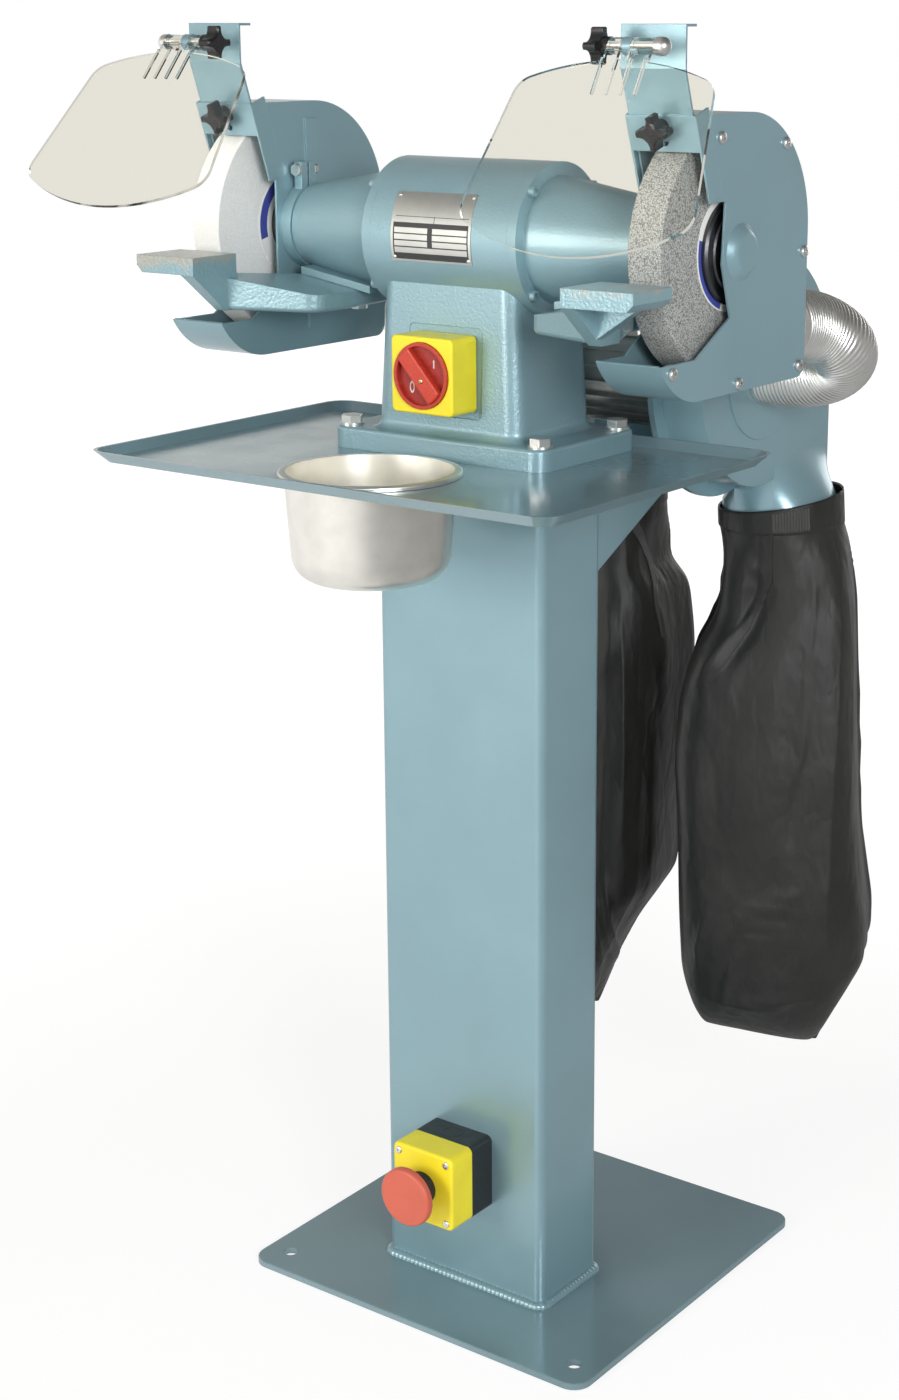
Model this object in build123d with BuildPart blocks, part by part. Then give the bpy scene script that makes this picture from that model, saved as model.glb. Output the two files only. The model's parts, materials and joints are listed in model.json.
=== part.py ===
import os
from math import cos, radians, sin, sqrt

from build123d import *

# Pedestal grinder with two wheels, clear shields and a pair of dust fans. Millimetres.
# +X runs along the spindle to the right, +Y to the back and +Z up.
# The origin is under the middle of the base plate.

# Clearances
slide_clearance = 0.3
running_clearance = 0.03
press_clearance = 0.02
bolt_clearance = 0.5

# Sheet metal of tray, guards and fans
tray_sheet = 2.0
guard_sheet = 2.0
fan_sheet = 2.0

# Stand
base_width = 383.0
base_depth = 372.0
base_thickness = 6.0
base_corner_radius = 18.0
base_edge_break = 0.8
floor_hole_diameter = 14.0
floor_hole_spacing = 332.0
floor_hole_front_inset = 29.5
column_width = 180.0
column_depth = 90.0
column_wall = 4.0
column_corner_radius = 8.0
column_centre_y = -55.0
column_height = 777.0
weld_leg = 5.0
head_plate_width = 240.0
head_plate_depth = 150.0
head_plate_thickness = 10.0

# Drip tray and water bowl
tray_width = 484.0
tray_front_reach = 243.5
tray_rear_reach = 91.7
tray_lip_rise = 10.0
tray_corner_radius = 20.0
bowl_reach = 155.5
bowl_rim_diameter = 152.0
bowl_mouth_diameter = 142.0
bowl_base_diameter = 130.0
bowl_depth = 87.0
bowl_wall = 1.5
bowl_base_radius = 22.0
bowl_rim_thickness = 4.0
bowl_rim_roll = 1.8
bowl_hole_clearance = 1.5

# Motor casting
head_offset_y = -6.0
centre_height = 183.0
foot_width = 226.0
foot_depth = 144.0
foot_thickness = 18.5
foot_corner_radius = 14.0
foot_edge_radius = 3.0
foot_bolt_spacing_x = 202.0
foot_bolt_spacing_y = 114.0
foot_bolt_diameter = 10.0
foot_bolt_head = 17.0
foot_bolt_head_height = 6.5
foot_washer_diameter = 21.0
foot_washer_thickness = 2.0
pedestal_base_width = 154.0
pedestal_base_depth = 112.0
pedestal_top_width = 141.0
pedestal_top_depth = 104.0
pedestal_corner_radius = 14.0
pedestal_foot_fillet = 8.0
barrel_radius = 64.3
barrel_half_length = 72.0
barrel_wall = 8.3
plate_width = 84.0
plate_arc = 52.7
plate_middle_angle = 170.2
plate_middle_x = -6.5
plate_thickness = 0.8

# End bells
bell_flange_thickness = 9.0
bell_register_depth = 6.0
bell_register_wall = 6.0
bell_flange_step = 11.3
snout_end_radius = 36.5
snout_end_x = 184.0
snout_wall = 8.0
snout_root_gap = 2.0
collar_seat_radius = 31.0
collar_seat_end_x = 202.0
bell_screw_inset = 4.8
bell_screw_diameter = 5.0
bell_screw_head_diameter = 9.0
bell_screw_head_height = 5.5
bell_screw_length = 16.0
bell_screw_end_gap = 1.0
bell_screw_socket = 5.0
bell_screw_socket_depth = 3.0
lug_half_width = 34.0
lug_start_x = 98.0
lug_end_x = 176.0
lug_drop = 2.5

# Spindle and what turns with it
bearing_outer_radius = 26.0
bearing_width = 15.0
bearing_start_x = 166.0
bearing_seat_run_in = 4.0
spindle_passage = 1.0
spindle_shoulder = 2.5
spindle_shoulder_gap = 2.0
wheel_seat_inset = 1.0
spindle_rotor_radius = 17.0
spindle_bearing_radius = 12.5
spindle_wheel_radius = 10.0
spindle_thread_radius = 8.0
spindle_end_x = 258.0
stator_depth = 15.78
rotor_half_length = 52.0
air_gap = 0.7
winding_overhang = 9.0
winding_inset = 4.0
wheel_diameter = 200.0
wheel_width = 30.0
wheel_inner_x = 213.0
wheel_chamfer = 1.0
blotter_diameter = 95.0
blotter_thickness = 0.6
inner_flange_diameter = 62.0
inner_flange_thickness = 8.0
outer_flange_diameter = 84.0
outer_flange_thickness = 5.0
outer_flange_boss_diameter = 63.0
outer_flange_boss_height = 1.5
outer_flange_boss_taper = 1.0
outer_flange_bevel = 2.0
inner_flange_bevel = 4.0
spindle_nut_size = 24.0
spindle_nut_height = 7.0

# Wheel guards, gaps from the wheel's edge and sizes from the spindle axis
guard_inner_x = 196.0
guard_outer_x = 255.0
guard_top_gap = 8.0
guard_rear_gap = 6.0
guard_bottom_gap = 11.0
guard_crown_inset = 4.0
guard_heel_radius = 12.0
scoop_radius = 66.0
scoop_start_y = -60.0
scoop_sweep = 60.0
front_wall_drop = 22.0
cover_step_z = 41.0
cover_front_edge = ((-25.0, cover_step_z), (-28.5, -8.0), (-15.0, -50.0), (-65.0, -78.0))
inner_front_edge = ((-42.0, cover_step_z), (-42.0, -55.0), (-78.0, -78.0))
cover_screw_inset = 6.5
cover_top_screw_y = -34.0
cover_top_screw_inset = 18.0
cover_crown_screw_angle = 51.3
cover_rear_screw_z = -7.0
cover_heel_screw_inset = 10.0
cover_bottom_screw_y = -1.0
cover_scoop_screw_y = -100.0
cover_scoop_screw_rise = 26.0
cover_screw_diameter = 5.0
cover_screw_head_diameter = 10.0
cover_screw_head_height = 3.5
cover_screw_head_bevel = 1.5
cover_screw_length = 8.0
cover_tab_radius = 8.0
dome_base_radius = 23.0
dome_top_radius = 16.5
dome_height = 6.5
dome_brow_height = 2.5
dome_brow_flare = 2.0
dome_brow_inset = 2.0
collar_start_x = 184.3
collar_end_x = 201.0
collar_outer_radius = 38.5
ear_middle_y = -12.0
ear_half_width = 9.0
ear_top_z = 56.0
ear_bolt_z = 49.0
ear_end_x = 193.0
ear_slit = 2.5
clamp_bolt_diameter = 6.0
clamp_bolt_head = 10.0
clamp_bolt_head_height = 4.0
clamp_bolt_tail = 3.0
strap_width = 15.0
strap_middle_y = 4.5
strap_half_length = 93.0
spigot_x = 224.5
spigot_drop = 72.0
spigot_outer_radius = 27.0
spigot_wall = 1.5
spigot_length = 50.0

# Spark plates and shield arms, sizes from the spindle axis
spark_slope = 19.0
spark_top_inset = 25.0
spark_top_gap = 7.0
spark_web_length = 29.0
spark_flange_depth = 19.0
spark_flange_length = 70.0
spark_side_gap = 0.5
spark_sheet = 2.0
spark_travel_up = 12.0
spark_travel_down = 1.5
knob_drop = 9.0
knob_screw_diameter = 6.0
knob_hub_radius = 7.0
knob_hub_length = 6.0
knob_star_radius = 14.0
knob_star_waist = 7.5
knob_tip_half_width = 2.8
knob_tip_crown = 1.0
knob_star_thickness = 12.0
knob_edge_bevel = 1.5
arm_width = 58.0
arm_inner_x = 195.5
arm_bend_rise = 34.0
arm_top_rise = 67.0
arm_top_flange = 15.0
arm_overlap = 24.0
hinge_reach = 40.0
hinge_rise = 51.0
hinge_rod_radius = 3.0
hinge_ear_width = 8.0
hinge_ear_radius = 7.0
hinge_ear_neck = 11.0
hinge_ear_x = 224.0
barrel_gap = 0.5
shield_barrel_radius = 6.5
shield_barrel_inner_length = 12.0
shield_barrel_outer_length = 19.0
cap_nut_radius = 7.0
cap_nut_skirt = 4.0

# Clear shields, sizes along the sheet from the hinge
shield_tilt_right = 30.0
shield_tilt_left = 40.0
shield_sheet = 3.0
shield_offset = 5.0
shield_top_half_width = 87.0
shield_bottom_half_width = 105.0
shield_shoulder = 33.0
shield_crown = 15.0
shield_hip = 145.0
shield_bottom = 174.0
shield_corner_radius = 18.0
shield_strap_end = 44.0
shield_notch_depth = 14.0
shield_rib_width = 2.0
shield_rib_height = 2.0
shield_rib_count = 4

# Tool rests, sizes from the spindle axis
rest_inner_x = 190.0
rest_outer_x = 256.0
rest_wheel_gap = 3.0
rest_depth = 54.0
rest_top_z = -18.0
rest_thickness = 15.0
rest_bevel = 6.0
rest_web_thickness = 12.0
rest_arm_front_inset = 15.0
rest_arm_back_inset = 11.0
rest_arm_tail_y = 36.0
rest_arm_inner_x = 112.0
rest_nose_inset = 30.0
rest_nose_radius = 16.0
rest_edge_radius = 4.0
rest_gusset_reach = 40.0
rest_gusset_thickness = 11.0
rest_gusset_inset = 11.5
rest_gusset_rise = 6.0
rest_arm_bottom_z = -66.0
rest_bolt_xs = (138.0, 166.0)
rest_bolt_diameter = 8.0
rest_bolt_head = 13.0
rest_bolt_head_height = 5.5
rest_bolt_grip = 9.0
rest_slot_width = 9.0
rest_tail_inset = 8.0
rest_tail_corner = 18.0
rest_travel = 18.0

# Main switch on the pedestal
switch_z = 73.0
switch_pad_width = 78.0
switch_pad_height = 77.0
switch_pad_y = -52.5
gasket_size = 63.0
gasket_thickness = 1.0
switch_size = 65.0
switch_depth = 33.0
switch_corner_radius = 5.0
switch_edge_radius = 2.0
handle_radius = 28.0
handle_pocket_depth = 5.0
handle_disc_thickness = 7.0
handle_rim_width = 3.0
handle_recess_depth = 4.5
handle_grip_width = 15.0
handle_grip_height = 3.0
handle_angle = 132.0
handle_edge_radius = 1.2
handle_shaft_radius = 5.0
handle_shaft_length = 12.0

# Stop station on the column
stop_z = 128.0
stop_width = 68.0
stop_height = 72.0
stop_base_depth = 30.0
stop_lid_depth = 30.0
stop_corner_radius = 6.0
stop_edge_radius = 3.0
stop_wall = 3.0
stop_collar_radius = 15.0
stop_collar_height = 11.0
stop_stem_radius = 10.0
stop_travel = 5.0
stop_button_radius = 27.5
stop_button_thickness = 11.0
stop_button_crown = 3.5
stop_button_back_rise = 4.0
stop_button_back_inset = 9.0
stop_screw_diameter = 4.0
stop_screw_head_diameter = 7.0
stop_screw_head_height = 1.5
stop_screw_inset = 7.0
stop_screw_length = 40.0
stop_screw_hole = 15.0

# Dust fans
fan_back = 221.0
fan_drop = 130.0
fan_middle_x = 30.0
fan_face = 120.0
fan_drum_depth = 42.0
fan_drum_radius = 105.0
fan_flange_thickness = 6.0
fan_flange_rim = 14.0
fan_outlet_front = 24.0
fan_outlet_rear = 125.0
fan_throat_drop = 84.0
neck_radius = 55.0
neck_round_drop = 132.0
neck_end_drop = 158.0
inlet_plate_radius = 62.0
inlet_plate_thickness = 1.5
inlet_spigot_length = 18.0
impeller_radius = 92.0
impeller_width = 28.0
impeller_blades = 12
impeller_hub_radius = 16.0
impeller_eye_radius = 45.0
impeller_hub_length = 20.0
impeller_blade_lean = 25.0
impeller_blade_inset = 3.0
fan_shaft_radius = 7.0
fan_shaft_passage = 1.0
fan_motor_radius = 60.0
fan_motor_fins = 24
fan_motor_fin_height = 5.0
bracket_width = 100.0
bracket_thickness = 6.0
bracket_height = 90.0
bracket_saddle_width = 80.0
bracket_saddle_depth = 70.0
bracket_shelf_below_motor = 16.0
bracket_saddle_rise = 25.0

# Hoses
hose_wall = 1.7
hose_rib_height = 2.0
hose_rib_pitch = 10.0
hose_rib_foot = 0.15
hose_rib_shoulder = 0.4
hose_cuff = 10.0
hose_bend_y = 28.0
hose_overhang = 7.5
hose_upper_bend_radius = 37.0
hose_lower_bend_radius = 36.0

# Bags
bag_mouth_radius = 58.0
bag_mouth_height = 26.0
bag_length = 551.0
bag_band_drop = 36.0
bag_shoulder_drop = 120.0
bag_belly_drop = 303.0
bag_hip_drop = 512.0
bag_half_width = 82.0
bag_half_depth = 98.0
bag_shoulder_width = 77.0
bag_shoulder_depth = 92.0
bag_hip_width = 78.0
bag_hip_depth = 93.0
bag_bottom_width = 59.0
bag_bottom_depth = 59.0
bag_lean = 6.0

# Heights and places that follow from those sizes
column_top = base_thickness + column_height
tray_bottom = column_top + head_plate_thickness
tray_top = tray_bottom + tray_sheet
foot_top = tray_top + foot_thickness
spindle_y = column_centre_y + head_offset_y
spindle_z = tray_top + centre_height
column_front_y = column_centre_y - column_depth / 2
column_back_y = column_centre_y + column_depth / 2
wheel_outer_x = wheel_inner_x + wheel_width
guard_middle_x = (guard_inner_x + guard_outer_x) / 2
barrel_bore_radius = barrel_radius - barrel_wall
rotor_radius = barrel_bore_radius - press_clearance - stator_depth - air_gap
snout_root_radius = barrel_radius - bell_flange_step
bell_screw_circle = barrel_radius - bell_screw_inset
wheel_radius = wheel_diameter / 2
guard_top = wheel_radius + guard_top_gap
guard_rear = wheel_radius + guard_rear_gap
guard_bottom = wheel_radius + guard_bottom_gap
guard_crown_radius = wheel_radius - guard_crown_inset
spark_top_y = spark_top_inset - wheel_radius
spark_top_z = wheel_radius + spark_top_gap
arm_bend_z = guard_top + arm_bend_rise
arm_top_z = guard_top + arm_top_rise
hinge_y = spark_top_y - hinge_reach
hinge_z = guard_top + hinge_rise
rest_rear_y = -wheel_radius - rest_wheel_gap
rest_front_y = rest_rear_y - rest_depth
rest_arm_front_y = rest_rear_y - rest_arm_front_inset
rest_arm_back_y = rest_rear_y + rest_arm_back_inset
rest_nose_y = rest_arm_front_y + rest_nose_inset
hose_valley_radius = spigot_outer_radius + slide_clearance + hose_wall
hose_rib_radius = hose_valley_radius + hose_rib_height
crown_screw_reach = guard_crown_radius - cover_screw_inset
cover_screws_at = (
    (cover_top_screw_y, guard_top - cover_top_screw_inset),
    (
        guard_rear - guard_crown_radius + crown_screw_reach * cos(radians(cover_crown_screw_angle)),
        guard_top - guard_crown_radius + crown_screw_reach * sin(radians(cover_crown_screw_angle)),
    ),
    (guard_rear - cover_screw_inset, cover_rear_screw_z),
    (guard_rear - cover_heel_screw_inset, cover_heel_screw_inset - guard_bottom),
    (cover_bottom_screw_y, cover_screw_inset - guard_bottom),
    (cover_scoop_screw_y, cover_scoop_screw_rise - guard_bottom),
)
spindle_axis = Axis((0, spindle_y, spindle_z), (1, 0, 0))
# Local x runs along the spindle and local y up from its axis
spindle_section = Plane(origin=(0, spindle_y, spindle_z), x_dir=(1, 0, 0), z_dir=(0, -1, 0))


def across(x):
    """Plane square to the spindle at x: local x runs back and local y up, from the spindle axis."""
    return Plane(origin=(x, spindle_y, spindle_z), x_dir=(0, 1, 0), z_dir=(1, 0, 0))


def level(z):
    """Level plane at a height over the spindle axis, with its origin on that axis."""
    return Plane(origin=(0, spindle_y, spindle_z + z), x_dir=(1, 0, 0), z_dir=(0, 0, 1))


def save(name, shape):
    shape.label = name
    export_step(shape, f"parts/{name}.step")


def save_pair(name, right_shape, middle_x=0.0):
    """Write the right-hand piece and its mirror image on the left."""
    save(name + "_right", right_shape)
    save(name + "_left", mirror(right_shape, about=Plane.YZ.offset(middle_x)))


os.makedirs("parts", exist_ok=True)

# Base plate with its two front floor holes
with BuildPart() as base_plate:
    with BuildSketch():
        RectangleRounded(base_width, base_depth, base_corner_radius)
        with Locations((0, -base_depth / 2 + floor_hole_front_inset)):
            with GridLocations(floor_hole_spacing, 0, 2, 1):
                Circle(floor_hole_diameter / 2, mode=Mode.SUBTRACT)
    extrude(amount=base_thickness)
    chamfer(base_plate.faces().sort_by(Axis.Z)[-1].outer_wire().edges(), base_edge_break)
save("base_plate", base_plate.part)

# Column: rectangular tube with the weld bead round its foot
column_plane = Plane.XY.offset(base_thickness).move(Location((0, column_centre_y, 0)))
with BuildPart() as column:
    with BuildSketch(column_plane):
        RectangleRounded(column_width, column_depth, column_corner_radius)
    extrude(amount=column_height)
    with BuildSketch(column_plane):
        RectangleRounded(
            column_width + 2 * weld_leg, column_depth + 2 * weld_leg, column_corner_radius + weld_leg
        )
    with BuildSketch(column_plane.offset(weld_leg)):
        RectangleRounded(column_width, column_depth, column_corner_radius)
    loft()
    with BuildSketch(column_plane):
        RectangleRounded(
            column_width - 2 * column_wall, column_depth - 2 * column_wall, column_corner_radius - column_wall
        )
    extrude(amount=column_height, mode=Mode.SUBTRACT)
save("column", column.part)

# Head plate welded on the column, tapped for the foot bolts
with BuildPart() as head_plate:
    with BuildSketch(level(column_top - spindle_z)):
        RectangleRounded(head_plate_width, head_plate_depth, column_corner_radius)
        with GridLocations(foot_bolt_spacing_x, foot_bolt_spacing_y, 2, 2):
            Circle(foot_bolt_diameter / 2 + press_clearance, mode=Mode.SUBTRACT)
    extrude(amount=head_plate_thickness)
save("head_plate", head_plate.part)

# Drip tray: one sheet with a flared lip and a round hole for the bowl
tray_depth = tray_front_reach + tray_rear_reach
tray_middle_y = (tray_rear_reach - tray_front_reach) / 2
with BuildPart() as tray:
    for sheet, mode in ((0.0, Mode.ADD), (tray_sheet, Mode.SUBTRACT)):
        lip_inset = sheet * sqrt(2)
        floor_inset = tray_lip_rise + sheet * (sqrt(2) - 1)
        for height, inset in ((sheet, floor_inset), (tray_lip_rise, lip_inset)):
            with BuildSketch(level(tray_bottom + height - spindle_z)):
                with Locations((0, tray_middle_y)):
                    RectangleRounded(
                        tray_width - 2 * inset, tray_depth - 2 * inset, tray_corner_radius - inset / 2
                    )
        loft(ruled=True, mode=mode)
    with BuildSketch(level(tray_bottom - spindle_z)):
        with Locations((0, -bowl_reach)):
            Circle(bowl_mouth_diameter / 2 + bowl_hole_clearance)
        with GridLocations(foot_bolt_spacing_x, foot_bolt_spacing_y, 2, 2):
            Circle(foot_bolt_diameter / 2 + bolt_clearance)
    extrude(amount=tray_sheet, mode=Mode.SUBTRACT)
save("tray", tray.part)

# Water bowl: deep drawn with a rolled rim that rests on the tray
bowl_section = Plane(
    origin=(0, spindle_y - bowl_reach, tray_top + slide_clearance), x_dir=(1, 0, 0), z_dir=(0, -1, 0)
)
with BuildPart() as water_bowl:
    with BuildSketch(bowl_section):
        with BuildLine():
            mouth = bowl_mouth_diameter / 2
            foot = bowl_base_diameter / 2
            Polyline(
                (0, -bowl_depth),
                (foot, -bowl_depth),
                (mouth, 0),
                (bowl_rim_diameter / 2, 0),
                (bowl_rim_diameter / 2, bowl_rim_thickness),
                (mouth - bowl_wall, bowl_rim_thickness),
                (foot - bowl_wall, -bowl_depth + bowl_wall),
                (0, -bowl_depth + bowl_wall),
                close=True,
            )
        make_face()
    revolve(axis=Axis(bowl_section.origin, (0, 0, 1)))
    rims = water_bowl.edges().filter_by(GeomType.CIRCLE)
    fillet(rims.group_by(Axis.Z)[0], bowl_base_radius)
    fillet(rims.group_by(Axis.Z)[1], bowl_base_radius - bowl_wall)
    top_rims = water_bowl.edges().filter_by(GeomType.CIRCLE).group_by(Axis.Z)[-1]
    fillet(top_rims.sort_by(SortBy.RADIUS)[-1], bowl_rim_roll)
save("water_bowl", water_bowl.part)

# Motor casting: foot, tapered pedestal with the switch recess, and bored barrel
pedestal_top_z = -sqrt(barrel_radius**2 - (pedestal_top_depth / 2) ** 2)
switch_plane = Plane(
    origin=(0, spindle_y + switch_pad_y, tray_top + switch_z), x_dir=(1, 0, 0), z_dir=(0, -1, 0)
)
with BuildPart() as motor_casting:
    with BuildSketch(level(tray_top - spindle_z)):
        RectangleRounded(foot_width, foot_depth, foot_corner_radius)
    extrude(amount=foot_thickness)
    fillet(motor_casting.faces().sort_by(Axis.Z)[-1].edges(), foot_edge_radius)
    foot_face_z = foot_top - spindle_z
    with BuildSketch(level(foot_face_z)):
        RectangleRounded(pedestal_base_width, pedestal_base_depth, pedestal_corner_radius)
    with BuildSketch(level(pedestal_top_z)):
        RectangleRounded(pedestal_top_width, pedestal_top_depth, pedestal_corner_radius)
    loft()
    level_faces = motor_casting.faces().filter_by(Plane.XY)
    foot_face = level_faces.filter_by_position(Axis.Z, foot_top, foot_top)[0]
    fillet(foot_face.inner_wires()[0].edges(), pedestal_foot_fillet)
    with BuildSketch(across(-barrel_half_length)):
        Circle(barrel_radius)
    extrude(amount=2 * barrel_half_length)
    with BuildSketch(across(-barrel_half_length)):
        Circle(barrel_bore_radius)
    extrude(amount=2 * barrel_half_length, mode=Mode.SUBTRACT)
    with BuildSketch(switch_plane):
        RectangleRounded(switch_pad_width, switch_pad_height, switch_corner_radius)
    extrude(amount=foot_depth, mode=Mode.SUBTRACT)
    with BuildSketch(level(tray_top - spindle_z)):
        with GridLocations(foot_bolt_spacing_x, foot_bolt_spacing_y, 2, 2):
            Circle(foot_bolt_diameter / 2 + bolt_clearance)
    extrude(amount=foot_thickness, mode=Mode.SUBTRACT)
    bell_screw_depth = bell_screw_length - bell_flange_thickness + bell_screw_end_gap
    for x, inward in ((-barrel_half_length, 1), (barrel_half_length, -1)):
        with BuildSketch(across(x)):
            with PolarLocations(bell_screw_circle, 4, start_angle=45):
                Circle(bell_screw_diameter / 2 + press_clearance)
        extrude(amount=inward * bell_screw_depth, mode=Mode.SUBTRACT)
save("motor_casting", motor_casting.part)

# Foot bolts with their washers
with BuildPart() as foot_washers:
    with BuildSketch(level(foot_top - spindle_z)):
        with GridLocations(foot_bolt_spacing_x, foot_bolt_spacing_y, 2, 2):
            Circle(foot_washer_diameter / 2)
            Circle(foot_bolt_diameter / 2 + bolt_clearance, mode=Mode.SUBTRACT)
    extrude(amount=foot_washer_thickness)
save("foot_washers", foot_washers.part)

bolt_seat_z = foot_top + foot_washer_thickness - spindle_z
with BuildPart() as foot_bolts:
    with BuildSketch(level(bolt_seat_z)):
        with GridLocations(foot_bolt_spacing_x, foot_bolt_spacing_y, 2, 2):
            RegularPolygon(foot_bolt_head / 2, 6, major_radius=False)
    extrude(amount=foot_bolt_head_height)
    with BuildSketch(level(column_top - spindle_z)):
        with GridLocations(foot_bolt_spacing_x, foot_bolt_spacing_y, 2, 2):
            Circle(foot_bolt_diameter / 2)
    extrude(amount=foot_top + foot_washer_thickness - column_top)
save("foot_bolts", foot_bolts.part)

# Blank rating plate, curved to the barrel
with BuildPart() as rating_plate:
    with BuildSketch(across(plate_middle_x - plate_width / 2)):
        with BuildLine():
            low_angle = plate_middle_angle - plate_arc / 2
            inner_arc = CenterArc((0, 0), barrel_radius + press_clearance, low_angle, plate_arc)
            outer_arc = CenterArc((0, 0), barrel_radius + plate_thickness, low_angle, plate_arc)
            Line(inner_arc @ 0, outer_arc @ 0)
            Line(inner_arc @ 1, outer_arc @ 1)
        make_face()
    extrude(amount=plate_width)
save("rating_plate", rating_plate.part)

# End bells: flange, tapered snout, collar seat and the lug that carries the tool rest
bell_face_x = barrel_half_length + bell_flange_thickness
snout_start_x = bell_face_x + snout_root_gap
snout_slope = (snout_root_radius - snout_end_radius) / (snout_end_x - snout_start_x)
bearing_end_x = bearing_start_x + bearing_width
bearing_seat_x = bearing_start_x - bearing_seat_run_in


def snout_radius(x):
    return snout_root_radius - snout_slope * (x - snout_start_x)


def lug_face_z(x):
    """Height of the lug's under face, which runs along the snout's taper."""
    return -(snout_radius(x) + lug_drop)


with BuildPart() as end_bell:
    with BuildSketch(spindle_section):
        with BuildLine():
            register_x = barrel_half_length - bell_register_depth
            register_radius = barrel_bore_radius - press_clearance
            Polyline(
                (register_x, register_radius),
                (barrel_half_length, register_radius),
                (barrel_half_length, barrel_radius),
                (bell_face_x, barrel_radius),
                (bell_face_x, snout_root_radius),
                (snout_start_x, snout_root_radius),
                (snout_end_x, snout_end_radius),
                (snout_end_x, collar_seat_radius),
                (collar_seat_end_x, collar_seat_radius),
                (collar_seat_end_x, spindle_bearing_radius + spindle_passage),
                (bearing_end_x, spindle_bearing_radius + spindle_passage),
                (bearing_end_x, bearing_outer_radius),
                (bearing_seat_x, bearing_outer_radius),
                (bearing_seat_x, snout_radius(bearing_start_x) - snout_wall),
                (bell_face_x, snout_root_radius - snout_wall),
                (register_x, register_radius - bell_register_wall),
                close=True,
            )
        make_face()
    revolve(axis=spindle_axis)
    with BuildSketch(spindle_section):
        with BuildLine():
            Polyline(
                (lug_start_x, -snout_radius(lug_start_x) + snout_wall / 2),
                (lug_start_x, lug_face_z(lug_start_x)),
                (lug_end_x, lug_face_z(lug_end_x)),
                (lug_end_x, -snout_radius(lug_end_x) + snout_wall / 2),
                close=True,
            )
        make_face()
    extrude(amount=lug_half_width, both=True)
    with BuildSketch(spindle_section):
        with BuildLine():
            Polyline(
                (bell_face_x, 0),
                (bell_face_x, snout_root_radius - snout_wall),
                (bearing_seat_x, snout_radius(bearing_start_x) - snout_wall),
                (bearing_seat_x, 0),
                close=True,
            )
        make_face()
    revolve(axis=spindle_axis, mode=Mode.SUBTRACT)
    with BuildSketch(across(barrel_half_length)):
        with PolarLocations(bell_screw_circle, 4, start_angle=45):
            Circle(bell_screw_diameter / 2 + bolt_clearance)
    extrude(amount=bell_flange_thickness, mode=Mode.SUBTRACT)
    for x in rest_bolt_xs:
        with BuildSketch(level(lug_face_z(lug_start_x))):
            with Locations((x, 0)):
                Circle(rest_bolt_diameter / 2 + press_clearance)
        extrude(amount=lug_face_z(x) + rest_bolt_grip - lug_face_z(lug_start_x), mode=Mode.SUBTRACT)
save_pair("end_bell", end_bell.part)

# Cap screws of both end bells
with BuildPart() as end_bell_screws:
    for side in (-1, 1):
        head_plane = across(side * bell_face_x)
        with BuildSketch(head_plane):
            with PolarLocations(bell_screw_circle, 4, start_angle=45):
                Circle(bell_screw_head_diameter / 2)
        extrude(amount=side * bell_screw_head_height)
        with BuildSketch(head_plane.offset(side * (bell_screw_head_height - bell_screw_socket_depth))):
            with PolarLocations(bell_screw_circle, 4, start_angle=45):
                RegularPolygon(bell_screw_socket / 2, 6, major_radius=False)
        extrude(amount=side * bell_screw_socket_depth, mode=Mode.SUBTRACT)
        with BuildSketch(head_plane):
            with PolarLocations(bell_screw_circle, 4, start_angle=45):
                Circle(bell_screw_diameter / 2)
        extrude(amount=-side * bell_screw_length)
save("end_bell_screws", end_bell_screws.part)

# Stator with its end windings
stator_half_length = rotor_half_length
with BuildPart() as stator:
    with BuildSketch(spindle_section):
        with BuildLine():
            bore = rotor_radius + air_gap
            back = barrel_bore_radius - press_clearance
            winding_x = stator_half_length + winding_overhang
            Polyline(
                (-stator_half_length, back),
                (stator_half_length, back),
                (stator_half_length, back - winding_inset),
                (winding_x, back - 2 * winding_inset),
                (winding_x, bore + winding_inset),
                (stator_half_length, bore),
                (-stator_half_length, bore),
                (-winding_x, bore + winding_inset),
                (-winding_x, back - 2 * winding_inset),
                (-stator_half_length, back - winding_inset),
                close=True,
            )
        make_face()
    revolve(axis=spindle_axis)
save("stator", stator.part)

# Rotor core on the spindle
with BuildPart() as rotor:
    with BuildSketch(across(-rotor_half_length)):
        Circle(rotor_radius)
        Circle(spindle_rotor_radius + press_clearance, mode=Mode.SUBTRACT)
    extrude(amount=2 * rotor_half_length)
save("rotor", rotor.part)

# Spindle, stepped down to the bearings, the wheels and the threads
inner_flange_x = wheel_inner_x - blotter_thickness - inner_flange_thickness
thread_x = wheel_outer_x - wheel_seat_inset
shoulder_x = bearing_start_x - spindle_shoulder_gap
with BuildPart() as spindle:
    with BuildSketch(spindle_section):
        with BuildLine():
            Polyline(
                (0, 0),
                (0, spindle_rotor_radius),
                (rotor_half_length + winding_overhang, spindle_rotor_radius),
                (shoulder_x, spindle_bearing_radius + spindle_shoulder),
                (shoulder_x, spindle_bearing_radius),
                (inner_flange_x, spindle_bearing_radius),
                (inner_flange_x, spindle_wheel_radius),
                (thread_x, spindle_wheel_radius),
                (thread_x, spindle_thread_radius),
                (spindle_end_x, spindle_thread_radius),
                (spindle_end_x, 0),
                close=True,
            )
        make_face()
    revolve(axis=spindle_axis)
    mirror(about=Plane.YZ)
save("spindle", spindle.part)

# Bearings
with BuildPart() as spindle_bearings:
    with BuildSketch(across(bearing_start_x)):
        Circle(bearing_outer_radius - press_clearance)
        Circle(spindle_bearing_radius + running_clearance, mode=Mode.SUBTRACT)
    extrude(amount=bearing_width)
    mirror(about=Plane.YZ)
save("spindle_bearings", spindle_bearings.part)

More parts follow.
